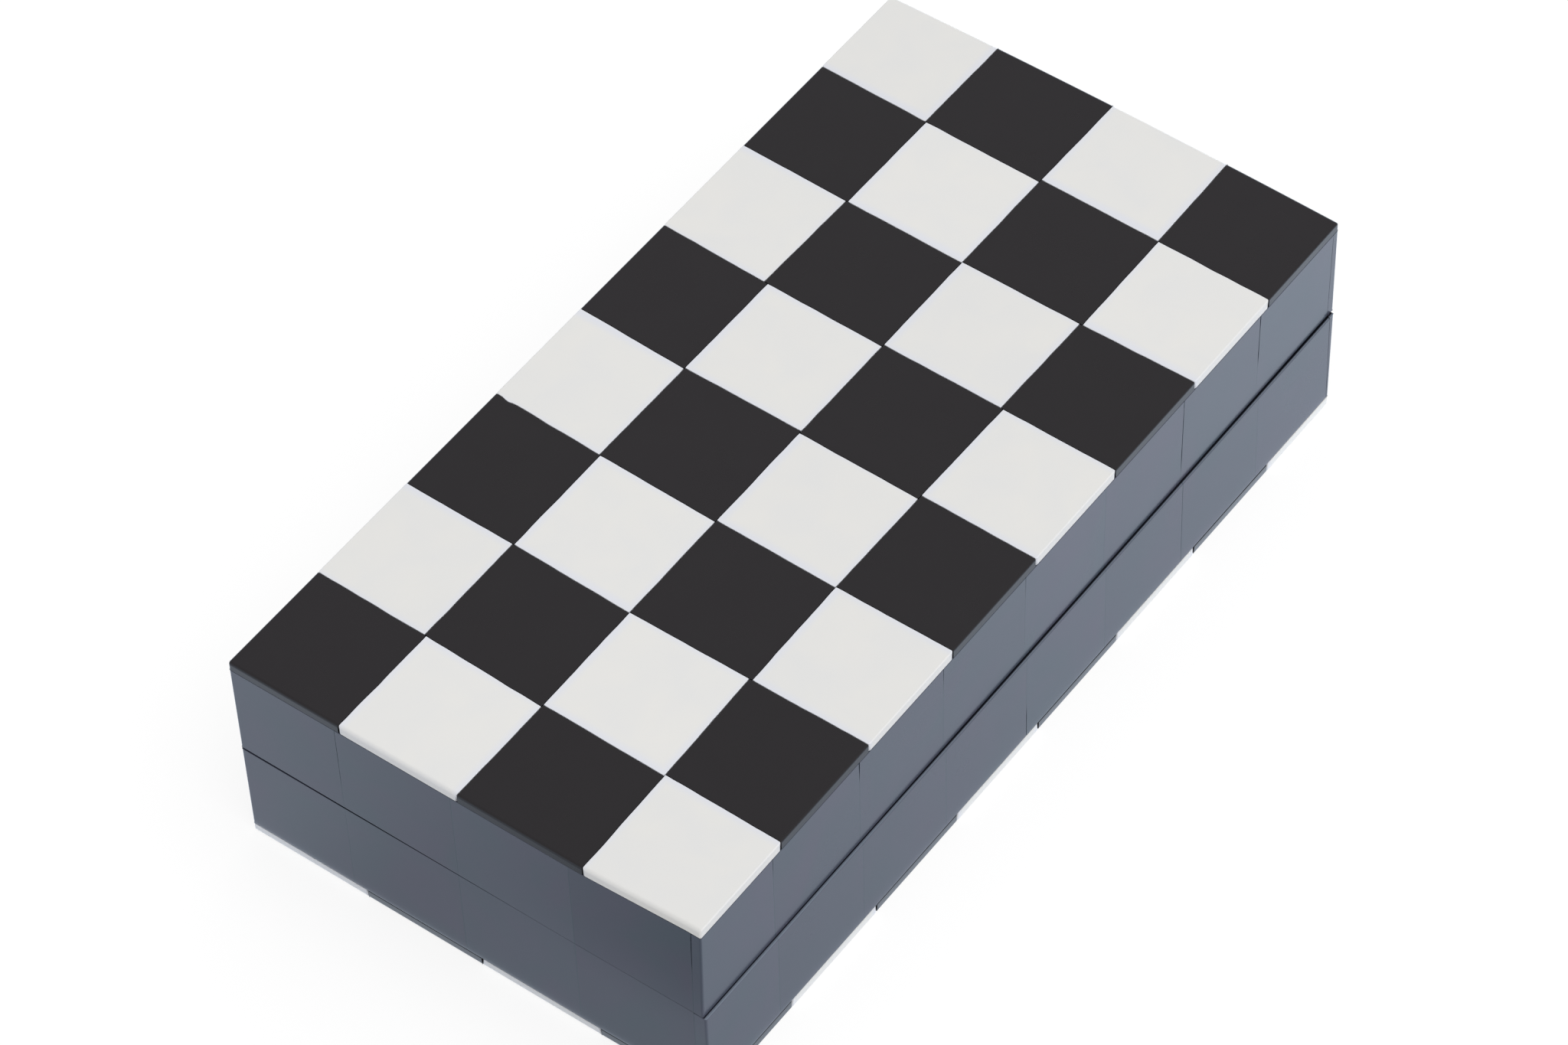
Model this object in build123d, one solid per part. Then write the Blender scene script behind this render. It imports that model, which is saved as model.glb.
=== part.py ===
"""Folding chess board: a shallow case in two halves, whose outer faces are the playing surface.

Each half is a tray. Four rebated walls hold a deck panel, and everything that shows outside is a skin of
cast tiles sanded flush: thirty-two squares on the deck and a row of plain tiles round the sides. The halves
meet rim to rim, are joined by two solid brass butt hinges let into the back rims, and are held shut by two
pairs of disc magnets in the front rims. Opened through half a turn, both playing faces lie in one plane.

Frame: millimetres, +Z up, the closed case lying on the lower half's playing face. The origin is the middle
of that face, as wide as the upper half, +X runs along the case to its right end, and +Y runs across it to
the hinged back.
"""

import os

from build123d import *

# Squares of the playing surface, counted on one half
squares_long = 8
squares_wide = 4
square_length = 45.0
square_width = 46.5

# What sanding the case flush takes off the outer rows of squares
left_trim = 2.7
right_trim = 4.3
front_trim = 2.4
back_trim = 3.0

# How the lower half differs: its squares lie askew of those above, and its front stands proud
lower_squares_right = 1.2
lower_squares_front = 3.2
lower_front_proud = 1.0

# Tiles
tile_thickness = 3.6
tile_joint = 0.2
tile_easing = 0.15
side_tile_thickness = 3.6
long_side_tile_length = 44.7
end_side_tile_length = 45.1
first_long_tile_cut = 1.1

# Outside of the case
half_height = 43.5
rim_gap = 0.6
corner_radius = 1.2
playing_edge_easing = 0.6
rim_easing = 0.3

# Wooden core
wall_thickness = 8.4
rebate_depth = 4.2
deck_thickness = 6.0

# Lining
felt_thickness = 1.2
felt_below_rim = 3.5

# Hinges
hinge_length = 38.0
hinge_from_end = 75.0
axis_behind_back = 0.25
leaf_width = 10.4
leaf_thickness = 1.2
knuckle_radius = 2.0
knuckles = 3
knuckle_gap = 0.3
knuckle_clearance = 0.4
pin_radius = 1.0
pin_clearance = 0.08
pin_end = 0.4
mortise_clearance = 0.15

# Hinge screws, one row along each leaf
screws_per_leaf = 2
screw_spacing = 24.0
screw_from_axis = 7.0
screw_head_radius = 2.2
screw_shank_radius = 1.0
screw_length = 12.0
screw_clearance = 0.05

# Closing magnets
magnet_radius = 2.5
magnet_thickness = 3.0
magnet_proud = 0.15
magnet_clearance = 0.05
magnet_from_end = 45.0

# Sizes and places that follow from those
box_length = squares_long * square_length - left_trim - right_trim
box_width = squares_wide * square_width - front_trim - back_trim
left, right = -box_length / 2, box_length / 2
front, back = -box_width / 2, box_width / 2
core_length = box_length - 2 * side_tile_thickness
core_width = box_width - 2 * side_tile_thickness
inner_length = core_length - 2 * wall_thickness
inner_width = core_width - 2 * wall_thickness
deck_length = inner_length + 2 * rebate_depth
deck_width = inner_width + 2 * rebate_depth
floor_level = tile_thickness + deck_thickness
parting_level = half_height + rim_gap / 2
axis_y = back + axis_behind_back
hinge_middles = (left + hinge_from_end, right - hinge_from_end)
leaf_edge_y = axis_y - leaf_width
leaf_seat_level = half_height - leaf_thickness
screw_y = axis_y - screw_from_axis
magnet_y = front + side_tile_thickness + wall_thickness / 2


def block(x_limits, y_limits, z_limits):
    """A rectangular block between three pairs of limits."""
    middles = [sum(limits) / 2 for limits in (x_limits, y_limits, z_limits)]
    sizes = [limits[1] - limits[0] for limits in (x_limits, y_limits, z_limits)]
    return Pos(*middles) * Box(*sizes)


def centred(size):
    """The two limits of a size laid out about zero."""
    return (-size / 2, size / 2)


def hanging(radius, length):
    """A round bar whose top is at zero."""
    return Cylinder(radius, length, align=(Align.CENTER, Align.CENTER, Align.MAX))


def along_axis(radius, x_limits):
    """A round bar on the hinge axis between two limits of X."""
    bar = Cylinder(radius, x_limits[1] - x_limits[0], rotation=(0, 90, 0))
    return Pos(sum(x_limits) / 2, axis_y, parting_level) * bar


def to_upper(shape):
    """A lower piece's twin in the upper half, across the parting plane."""
    return mirror(shape, about=Plane.XY.offset(parting_level))


def front_of(upper):
    """The Y of a half's outer front face."""
    return front if upper else front - lower_front_proud


def screw_places():
    """The X of each screw in one half's two hinge leaves."""
    first = -screw_spacing * (screws_per_leaf - 1) / 2
    steps = [first + screw_spacing * n for n in range(screws_per_leaf)]
    return [middle + step for middle in hinge_middles for step in steps]


def magnet_places():
    """The X of each magnet in the front rim."""
    return (left + magnet_from_end, right - magnet_from_end)


def half_envelope(upper):
    """The finished outside of a half, sanded flush, its corners rounded and its other edges eased."""
    body = block(centred(box_length), (front_of(upper), back), (0, half_height))
    body = fillet(body.edges().filter_by(Axis.Z), corner_radius)
    body = chamfer(body.faces().sort_by(Axis.Z)[0].edges(), playing_edge_easing)
    return chamfer(body.faces().sort_by(Axis.Z)[-1].edges(), rim_easing)


def square_limits(count, size, first_seam, low, high):
    """Each square's limits along one edge of the case, with a joint at every seam."""
    seams = [first_seam + size * n for n in range(count - 1)]
    starts = [low] + [seam + tile_joint / 2 for seam in seams]
    ends = [seam - tile_joint / 2 for seam in seams] + [high]
    return list(zip(starts, ends))


def playing_tiles(envelope, white, upper):
    """One colour's sixteen squares of a half, built in the lower half's place."""
    seam_x = left - left_trim + square_length + (0 if upper else lower_squares_right)
    seam_y = front - front_trim + square_width - (0 if upper else lower_squares_front)
    columns = square_limits(squares_long, square_length, seam_x, left, right)
    rows = square_limits(squares_wide, square_width, seam_y, front_of(upper), back)
    tiles = []
    for i, x_limits in enumerate(columns):
        for j, y_limits in enumerate(rows):
            white_on_upper = (i + j) % 2 == 0
            if (white_on_upper == upper) == white:
                tile = block(x_limits, y_limits, (0, tile_thickness))
                tile = chamfer(tile.faces().sort_by(Axis.Z)[0].edges(), tile_easing)
                tiles.append(envelope & tile)
    return Compound(children=tiles)


def tile_row(start, end, length, first):
    """The limits of a row of side tiles, from its butted start to its flush end, with no seam in its lap."""
    way = 1 if end > start else -1
    seams = [start, start + way * first]
    while abs(end - seams[-1]) > length + side_tile_thickness:
        seams.append(seams[-1] + way * length)
    begins = [seam + way * tile_joint / 2 for seam in seams]
    ends = [seam - way * tile_joint / 2 for seam in seams[1:]] + [end]
    return [tuple(sorted(pair)) for pair in zip(begins, ends)]


def side_cladding(envelope, side, upper):
    """One side's row of tiles. Each row laps the end of the next one round the case."""
    thickness = side_tile_thickness
    flush_front = front_of(upper)
    long_tiles = (long_side_tile_length, long_side_tile_length - first_long_tile_cut)
    end_tiles = (end_side_tile_length, end_side_tile_length)
    row, depth = {
        "front": (tile_row(right - thickness, left, *long_tiles), (flush_front, front + thickness)),
        "left": (tile_row(front + thickness, back, *end_tiles), (left, left + thickness)),
        "back": (tile_row(left + thickness, right, *long_tiles), (back - thickness, back)),
        "right": (tile_row(back - thickness, flush_front, *end_tiles), (right - thickness, right)),
    }[side]
    height = (tile_thickness + tile_joint, half_height)
    tiles = []
    for run in row:
        tile = block(run, depth, height) if side in ("front", "back") else block(depth, run, height)
        tile = envelope & tile
        if side == "back":
            for cut in hinge_recess():
                tile = tile - cut
        tiles.append(tile)
    return Compound(children=tiles)


def deck_panel():
    """The panel under the squares, let into a rebate in all four walls."""
    return block(centred(deck_length), centred(deck_width), (tile_thickness, floor_level))


def end_wall(side):
    """A short wall. Its ends sit in rebates in the long walls, and the deck panel in its own."""
    outer = core_length / 2
    x_limits = (-outer, wall_thickness - outer) if side == "left" else (outer - wall_thickness, outer)
    return block(x_limits, centred(deck_width), (tile_thickness, half_height)) - deck_panel()


def long_wall(side):
    """A long wall, rebated for the deck panel and for both end walls."""
    outer = core_width / 2
    y_limits = (-outer, wall_thickness - outer) if side == "front" else (outer - wall_thickness, outer)
    wall = block(centred(core_length), y_limits, (tile_thickness, half_height))
    return wall - deck_panel() - end_wall("left") - end_wall("right")


def front_wall():
    """The long wall on the opening side, bored from the rim for the magnets."""
    wall = long_wall("front")
    bore = hanging(magnet_radius + magnet_clearance, magnet_thickness - magnet_proud)
    for x in magnet_places():
        wall -= Pos(x, magnet_y, half_height) * bore
    return wall


def back_wall():
    """The long wall that carries the hinges: mortises for the leaves and a pilot hole for each screw."""
    wall = long_wall("back")
    for cut in hinge_recess():
        wall -= cut
    for x in screw_places():
        wall -= Pos(x, screw_y, half_height) * screw(screw_clearance)
    return wall


def floor_felt():
    """The felt that covers the deck panel inside the tray."""
    return block(centred(inner_length), centred(inner_width), (floor_level, floor_level + felt_thickness))


def wall_felt(side):
    """The felt on one inner wall, standing on the floor felt and stopping short of the rim."""
    height = (floor_level + felt_thickness, half_height - felt_below_rim)
    if side in ("front", "back"):
        y_limits = (inner_width / 2 - felt_thickness, inner_width / 2)
        piece = block(centred(inner_length), y_limits, height)
        return piece if side == "back" else mirror(piece, about=Plane.XZ)
    x_limits = (inner_length / 2 - felt_thickness, inner_length / 2)
    piece = block(x_limits, centred(inner_width - 2 * felt_thickness), height)
    return piece if side == "right" else mirror(piece, about=Plane.YZ)


def magnets():
    """The lower half's two disc magnets, a little proud of the rim so that they meet first."""
    disc = hanging(magnet_radius, magnet_thickness)
    top = half_height + magnet_proud
    return Compound(children=[Pos(x, magnet_y, top) * disc for x in magnet_places()])


def screw(clearance=0.0):
    """A countersunk screw hanging from its head at zero, or with a clearance the hole that takes it."""
    head = screw_head_radius + clearance
    shank = screw_shank_radius + clearance
    end = -screw_length - clearance
    outline = Polyline((0, 0), (head, 0), (shank, shank - head), (shank, end), (0, end), close=True)
    return revolve(Plane.XZ * make_face(outline), Axis.Z)


def hinge_screws():
    """The lower half's screws, their heads flush with the leaves."""
    return Compound(children=[Pos(x, screw_y, half_height) * screw() for x in screw_places()])


def hinge_recess():
    """What is cut from a lower half's back rim for its leaves and for both leaves' knuckles."""
    cut = []
    for middle in hinge_middles:
        reach = hinge_length / 2 + mortise_clearance
        cut.append(
            block(
                (middle - reach, middle + reach),
                (leaf_edge_y - mortise_clearance, axis_y),
                (leaf_seat_level, parting_level),
            )
        )
        reach = hinge_length / 2 + pin_end + knuckle_clearance
        cut.append(along_axis(knuckle_radius + knuckle_clearance, (middle - reach, middle + reach)))
    return cut


def knuckle_limits(middle, number):
    """The limits along the axis of one knuckle of the hinge about a middle."""
    length = (hinge_length - (knuckles - 1) * knuckle_gap) / knuckles
    start = middle - hinge_length / 2 + number * (length + knuckle_gap)
    return (start, start + length)


def hinge_leaf(middle, upper):
    """One leaf in the lower half's place: a plate let into the rim, with its own knuckles on the axis."""
    levels = (leaf_seat_level, half_height)
    plate_end = axis_y - knuckle_radius - knuckle_clearance
    leaf = block((middle - hinge_length / 2, middle + hinge_length / 2), (leaf_edge_y, plate_end), levels)
    for number in range(1 if upper else 0, knuckles, 2):
        limits = knuckle_limits(middle, number)
        leaf += block(limits, (plate_end - knuckle_clearance, axis_y), levels)
        leaf += along_axis(knuckle_radius, limits)
    leaf -= along_axis(pin_radius + pin_clearance, (middle - hinge_length, middle + hinge_length))
    for x in screw_places():
        if abs(x - middle) < hinge_length / 2:
            leaf -= Pos(x, screw_y, half_height) * screw(screw_clearance)
    return leaf


def hinge_pin(middle):
    """The pin of one hinge, standing a little out of the barrel at each end."""
    reach = hinge_length / 2 + pin_end
    return along_axis(pin_radius, (middle - reach, middle + reach))


def half_parts(upper):
    """Every piece of one half by its short name, built in the lower half's place."""
    envelope = half_envelope(upper)
    parts = {
        "white_tiles": playing_tiles(envelope, True, upper),
        "black_tiles": playing_tiles(envelope, False, upper),
        "deck_panel": deck_panel(),
        "front_wall": front_wall(),
        "back_wall": back_wall(),
        "left_wall": end_wall("left"),
        "right_wall": end_wall("right"),
        "floor_felt": floor_felt(),
        "magnets": magnets(),
        "hinge_screws": hinge_screws(),
    }
    for side in ("front", "back", "left", "right"):
        parts[side + "_cladding"] = side_cladding(envelope, side, upper)
        parts[side + "_felt"] = wall_felt(side)
    for end, middle in zip(("left", "right"), hinge_middles):
        parts[end + "_hinge_leaf"] = hinge_leaf(middle, upper)
    return parts


def all_parts():
    """Every node of the model and its shape."""
    parts = {"lower_" + name: shape for name, shape in half_parts(False).items()}
    parts.update({"upper_" + name: to_upper(shape) for name, shape in half_parts(True).items()})
    for end, middle in zip(("left", "right"), hinge_middles):
        parts[end + "_hinge_pin"] = hinge_pin(middle)
    return parts


os.makedirs("parts", exist_ok=True)
for node, shape in all_parts().items():
    export_step(shape, "parts/" + node + ".step")
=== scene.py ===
"""Looks of the folding chess board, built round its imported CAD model.

The case is dressed from the outside in: the squares of both playing faces, the rows of side tiles, the wooden
trays, their felt lining, and the hinges, screws and magnets that work the case. Sizes in the dataclasses are
millimetres, in the CAD's frame, and become metres as each mesh is placed.
"""

import logging
import math
import random
from collections.abc import Callable
from collections.abc import Sequence
from dataclasses import dataclass
from enum import Enum

import bmesh
import bpy
from mathutils import Matrix
from mathutils import Vector
from mathutils import noise


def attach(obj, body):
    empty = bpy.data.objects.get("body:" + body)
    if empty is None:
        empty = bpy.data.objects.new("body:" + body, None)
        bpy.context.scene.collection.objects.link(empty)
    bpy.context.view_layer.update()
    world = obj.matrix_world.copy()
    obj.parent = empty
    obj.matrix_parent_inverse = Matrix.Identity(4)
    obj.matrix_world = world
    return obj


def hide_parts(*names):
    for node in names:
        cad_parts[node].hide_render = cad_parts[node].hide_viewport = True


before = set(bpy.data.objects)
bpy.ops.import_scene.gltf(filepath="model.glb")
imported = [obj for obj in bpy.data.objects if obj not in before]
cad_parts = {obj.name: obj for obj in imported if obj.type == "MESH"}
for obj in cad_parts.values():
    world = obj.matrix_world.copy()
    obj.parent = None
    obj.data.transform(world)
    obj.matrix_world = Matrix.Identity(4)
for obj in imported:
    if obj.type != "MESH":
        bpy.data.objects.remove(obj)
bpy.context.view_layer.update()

MM = 0.001
# How close points have to be to count as one: in millimetres, and in metres in the CAD's own meshes.
TOUCHING = 0.001
WELDED = 0.002 * MM
# Edges bent more than the first are sharp, and faces bent less than the second are one.
SHARP_ANGLE = math.radians(50)
FLAT_ANGLE = math.radians(0.5)
# A first seam and a tile size, in millimetres, that put every seam along an axis off the case.
UNSEAMED = (-500.0, 1000.0)
# The squares of one half, and the corners of a slab as numbers of its ends along u and v.
COLUMNS = 8
ROWS = 4
CORNERS = ((0, 0), (1, 0), (1, 1), (0, 1))
WHITE = (1.0, 1.0, 1.0, 1.0)
log = logging.getLogger("chess_board")

Colour = tuple[float, float, float, float]
Pair = tuple[float, float]
Triple = tuple[float, float, float]
Four = tuple[float, float, float, float]
Socket = bpy.types.NodeSocket
Bend = Callable[[Vector], Vector]


class Half(Enum):
    """One tray of the case, which is also one CAD body."""

    LOWER = "lower"
    UPPER = "upper"

    @property
    def body(self) -> str:
        """The name of the half's CAD body."""
        return self.value + "_half"

    @property
    def out(self) -> float:
        """Which way Z runs from the half's own playing face into its tray: up, or down."""
        return 1.0 if self is Half.LOWER else -1.0


class Side(Enum):
    """One side of the case."""

    FRONT = "front"
    BACK = "back"
    LEFT = "left"
    RIGHT = "right"

    @property
    def along_x(self) -> bool:
        """Whether the side runs along the case."""
        return self in (Side.FRONT, Side.BACK)


class Tone(Enum):
    """The colour of a playing square."""

    WHITE = "white"
    BLACK = "black"


class Grain(Enum):
    """Which way the grain of a wooden part runs."""

    ALONG = "along"
    ACROSS = "across"


class Course(Enum):
    """How a value goes from one limit to the other."""

    SMOOTH = "SMOOTHSTEP"
    EVEN = "LINEAR"


class Kind(Enum):
    """What a socket of a shader node group carries."""

    VALUE = "NodeSocketFloat"
    VECTOR = "NodeSocketVector"


def linear(code: str) -> Colour:
    """Turn a web colour into the linear colour that a socket takes.

    Args:
        code: The colour as # and six hexadecimal digits.

    Returns:
        Red, green, blue and an alpha of one.
    """
    parts = [int(code[n : n + 2], 16) / 255 for n in (1, 3, 5)]
    red, green, blue = (c / 12.92 if c <= 0.04045 else ((c + 0.055) / 1.055) ** 2.4 for c in parts)
    return (red, green, blue, 1.0)


def metres(lengths: Sequence[float]) -> tuple[float, ...]:
    """Turn millimetres into metres."""
    return tuple(length * MM for length in lengths)


def ramp(value: float, start: float, end: float) -> float:
    """Rise from nought where a value is at the start to one where it is at the end, and stay within them."""
    return max(0.0, min(1.0, (value - start) / (end - start)))


def between(limits: Pair, share: float) -> float:
    """The value that lies a share of the way from one limit to the other."""
    return limits[0] + (limits[1] - limits[0]) * share


@dataclass(frozen=True)
class CaseSizes:
    """Limits and thicknesses of the closed case, in millimetres, and how its outer faces stand off square.

    Attributes:
        end_lean: How far the left end stands in at the foot, and the change with each millimetre of height.
        end_skew: The change with each millimetre towards the back.
        corner_run: The Y between which the near left corner is sanded off further.
        corner_cut: How far, at the parting and below it, and at the top.
        foot_lean: How far the lower front's foot stands out at the middle, and the change along the case.
        ledge_out: How far the lower front stands out at its rim.
        end_bow: How far the upper right end bows out, the Y of its middle, and its reach to each side.
        heel_in: How far the lower right end stands in at its near corner, at the rim and at the foot.
        heel_run: The Y from which it stands in, and of the corner where it does so in full.
    """

    left: float = -176.5
    right: float = 176.5
    front: float = -90.3
    lower_front: float = -91.3
    back: float = 90.3
    half_height: float = 43.5
    rim_gap: float = 0.6
    tile_thickness: float = 3.6
    side_tile_thickness: float = 3.6
    tile_joint: float = 0.2
    wall_thickness: float = 8.4
    deck_thickness: float = 6.0
    felt_thickness: float = 1.2
    felt_below_rim: float = 3.5
    end_lean: Pair = (0.27, -0.0103)
    end_skew: float = -0.005
    corner_run: Pair = (-85.0, -45.0)
    corner_cut: Pair = (0.3, 1.5)
    foot_lean: Pair = (0.5, 0.0035)
    ledge_out: float = 0.1
    end_bow: Triple = (0.8, 15.0, 75.0)
    heel_in: Pair = (1.2, 2.4)
    heel_run: Pair = (86.0, -90.0)

    @property
    def height(self) -> float:
        """Height of the closed case."""
        return 2 * self.half_height + self.rim_gap

    @property
    def inner_length(self) -> float:
        """Length of a tray between its wooden end walls."""
        return self.right - self.left - 2 * (self.side_tile_thickness + self.wall_thickness)

    @property
    def inner_width(self) -> float:
        """Width of a tray between its wooden long walls."""
        return self.back - self.front - 2 * (self.side_tile_thickness + self.wall_thickness)

    def front_of(self, half: Half) -> float:
        """The Y of a half's outer front face."""
        return self.front if half is Half.UPPER else self.lower_front

    def level(self, half: Half, height: float) -> float:
        """The Z of a height that is measured from a half's own playing face."""
        return height if half is Half.LOWER else self.height - height

    def left_end_in(self, y: float, z: float) -> float:
        """How far the left end stands in from its CAD plane.

        Args:
            y: Where on the end.
            z: How high on it.

        Returns:
            The distance, which is less than nought where the end stands out.
        """
        near = ramp(y, self.corner_run[1], self.corner_run[0])
        up = max(0.0, 2 * z / self.height - 1.0)
        lean = self.end_lean[0] + self.end_lean[1] * z + self.end_skew * y
        return lean + near * between(self.corner_cut, up)

    def lower_front_out(self, x: float, z: float) -> float:
        """How far the lower half's front stands out from its CAD plane."""
        foot = self.foot_lean[0] + self.foot_lean[1] * x
        return foot + (self.ledge_out - foot) * z / self.half_height

    def right_end_out(self, y: float, z: float) -> float:
        """How far the right end, bowed above and leaning in below, stands out from its CAD plane.

        Args:
            y: Where on the end.
            z: How high on it.

        Returns:
            The distance, which is less than nought where the end stands in.
        """
        up = 2 * z / self.height - 1.0
        if up > 0.0:
            height, middle, reach = self.end_bow
            return height * up * (1.0 - ((y - middle) / reach) ** 2)
        return -ramp(y, *self.heel_run) * between(self.heel_in, -up)


class Graph:
    """Adds nodes to a material, a world or a group, and links them by socket name."""

    def __init__(self, tree: bpy.types.NodeTree) -> None:
        """Start from an empty tree."""
        self.tree = tree
        tree.nodes.clear()

    def node(self, kind: str, inputs: dict | None = None, **settings: object) -> bpy.types.Node:
        """Add a node.

        Args:
            kind: The node's type name.
            inputs: What goes into each input, by name or number: a value, or the socket it is linked from.
            settings: Properties of the node itself.

        Returns:
            The new node.
        """
        node = self.tree.nodes.new(kind)
        for name, value in settings.items():
            setattr(node, name, value)
        for key, value in (inputs or {}).items():
            if isinstance(value, Socket):
                self.tree.links.new(value, node.inputs[key])
            else:
                node.inputs[key].default_value = value
        return node

    def math(self, operation: str, *values: object, clamp: bool = False) -> Socket:
        """Add a Math node and return what it puts out."""
        node = self.node("ShaderNodeMath", dict(enumerate(values)), operation=operation, use_clamp=clamp)
        return node.outputs[0]

    def add(self, first: object, second: object, clamp: bool = False) -> Socket:
        """Add two values, and keep the sum from nought to one if asked to."""
        return self.math("ADD", first, second, clamp=clamp)

    def subtract(self, first: object, second: object) -> Socket:
        """Take one value from another."""
        return self.math("SUBTRACT", first, second)

    def multiply(self, first: object, second: object) -> Socket:
        """Multiply two values."""
        return self.math("MULTIPLY", first, second)

    def fade(self, share: Socket, first: object, second: object) -> Socket:
        """Go over from one value to another by a share."""
        return self.add(self.multiply(first, self.subtract(1.0, share)), self.multiply(second, share))

    def vector_math(self, operation: str, *values: object) -> Socket:
        """Add a Vector Math node and return the vector it puts out."""
        return self.node("ShaderNodeVectorMath", dict(enumerate(values)), operation=operation).outputs[0]

    def remap(self, value: object, start: Pair, end: Pair, course: Course = Course.SMOOTH) -> Socket:
        """Map a value from one pair of limits to another, and clamp it there.

        Args:
            value: The value.
            start: The limits it comes from.
            end: The limits it goes to.
            course: How it goes from one of them to the other.

        Returns:
            The new value.
        """
        limits = {"From Min": start[0], "From Max": start[1], "To Min": end[0], "To Max": end[1]}
        inputs = {"Value": value, **limits}
        return self.node("ShaderNodeMapRange", inputs, interpolation_type=course.value).outputs[0]

    def mix(self, factor: object, first: object, second: object, blend: str = "MIX") -> Socket:
        """Mix two colours by a factor and return the colour."""
        sockets = {0: factor, 6: first, 7: second}
        return self.node("ShaderNodeMix", sockets, data_type="RGBA", blend_type=blend).outputs[2]

    def noise(self, vector: object, size: float, detail: float = 2.0, rough: float = 0.5) -> Socket:
        """Add a noise texture whose features are about a size in metres, and return its value."""
        inputs = {"Vector": vector, "Scale": 1 / size, "Detail": detail, "Roughness": rough}
        return self.node("ShaderNodeTexNoise", inputs).outputs[0]

    def place(self) -> Socket:
        """Object coordinates, which are the row frame in metres."""
        return self.node("ShaderNodeTexCoord").outputs["Object"]

    def parts(self, vector: Socket) -> Sequence[Socket]:
        """The X, Y and Z of a vector."""
        return self.node("ShaderNodeSeparateXYZ", {0: vector}).outputs

    def effect(self, group: bpy.types.NodeTree, inputs: dict) -> Sequence[Socket]:
        """Place a shared effect with its own values and return its outputs."""
        return self.node("ShaderNodeGroup", inputs, node_tree=group).outputs

    def bump(self, height: Socket, depth: float, strength: float = 1.0, sunk: bool = False) -> Socket:
        """Turn a height into a normal, raised by a depth in metres or sunk by it."""
        inputs = {"Height": height, "Distance": depth, "Strength": strength}
        return self.node("ShaderNodeBump", inputs, invert=sunk).outputs[0]

    def principled(self, inputs: dict) -> None:
        """Finish a material with a Principled shader."""
        shader = self.node("ShaderNodeBsdfPrincipled", inputs)
        self.node("ShaderNodeOutputMaterial", {"Surface": shader.outputs[0]})

    def mix_shaders(self, share: Socket, first: bpy.types.Node, second: bpy.types.Node) -> bpy.types.Node:
        """Go over from one shader to another by a share."""
        return self.node("ShaderNodeMixShader", {0: share, 1: first.outputs[0], 2: second.outputs[0]})


def new_material(name: str) -> tuple[bpy.types.Material, Graph]:
    """Start a material.

    Args:
        name: Its name.

    Returns:
        The material and its empty graph.
    """
    made = bpy.data.materials.new(name)
    made.use_nodes = True
    return made, Graph(made.node_tree)


@dataclass(frozen=True)
class Fade:
    """A level that changes over a run, in millimetres, and stays the same before and after it."""

    run: Pair
    levels: Pair
    course: Course = Course.SMOOTH

    def at(self, g: Graph, value: Socket) -> Socket:
        """The level at a place in metres."""
        return g.remap(value, metres(self.run), self.levels, self.course)


class EffectGroup:
    """A shader node group with named inputs and outputs, built once."""

    def __init__(self, name: str, inputs: dict[str, Kind], outputs: dict[str, Kind]) -> None:
        """Make the group's sockets.

        Args:
            name: The group's name.
            inputs: What each input takes, by name.
            outputs: What each output gives, by name.
        """
        self.tree = bpy.data.node_groups.new(name, "ShaderNodeTree")
        for label, kind in inputs.items():
            self.tree.interface.new_socket(label, in_out="INPUT", socket_type=kind.value)
        for label, kind in outputs.items():
            self.tree.interface.new_socket(label, in_out="OUTPUT", socket_type=kind.value)
        self.graph = Graph(self.tree)
        self.given = self.graph.node("NodeGroupInput").outputs

    def puts_out(self, **results: Socket) -> bpy.types.NodeTree:
        """Link the results to the group's outputs, whose names have spaces for underscores.

        Args:
            results: What each output gives.

        Returns:
            The finished group.
        """
        end = self.graph.node("NodeGroupOutput")
        for label, socket in results.items():
            self.tree.links.new(socket, end.inputs[label.replace("_", " ")])
        return self.tree


def tile_layout_group() -> bpy.types.NodeTree:
    """Where a point lies in a row or grid of tiles.

    Returns:
        A group that puts out the distance to the nearest seam in metres, and a value of each tile's own.
    """
    group = EffectGroup(
        "tile layout",
        {"Vector": Kind.VECTOR, "First Seam": Kind.VECTOR, "Tile Size": Kind.VECTOR},
        {"Seam Distance": Kind.VALUE, "Tile Value": Kind.VALUE},
    )
    g, given = group.graph, group.given
    shifted = g.vector_math("SUBTRACT", given["Vector"], given["First Seam"])
    counted = g.vector_math("DIVIDE", shifted, given["Tile Size"])
    number = g.vector_math("FLOOR", counted)
    share = g.vector_math("FRACTION", counted)
    rest = g.vector_math("SUBTRACT", (1.0, 1.0, 1.0), share)
    nearer = g.vector_math("MULTIPLY", g.vector_math("MINIMUM", share, rest), given["Tile Size"])
    x, y, z = g.parts(nearer)
    nearest = g.math("MINIMUM", g.math("MINIMUM", x, y), z)
    own = g.node("ShaderNodeTexWhiteNoise", {"Vector": number}, noise_dimensions="3D").outputs["Value"]
    return group.puts_out(Seam_Distance=nearest, Tile_Value=own)


def cloud_group() -> bpy.types.NodeTree:
    """Soft patches, such as those in cast resin or stained wood.

    Returns:
        A group that puts out a mask from nought to one.
    """
    group = EffectGroup(
        "soft clouds",
        {"Vector": Kind.VECTOR, "Size": Kind.VALUE, "Contrast": Kind.VALUE},
        {"Mask": Kind.VALUE},
    )
    g, given = group.graph, group.given
    scale = g.math("DIVIDE", 1.0, given["Size"])
    inputs = {"Vector": given["Vector"], "Scale": scale, "Detail": 3.0, "Roughness": 0.45, "Distortion": 0.6}
    raw = g.node("ShaderNodeTexNoise", inputs).outputs[0]
    centred = g.multiply(g.subtract(raw, 0.5), given["Contrast"])
    return group.puts_out(Mask=g.add(centred, 0.5, clamp=True))


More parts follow.
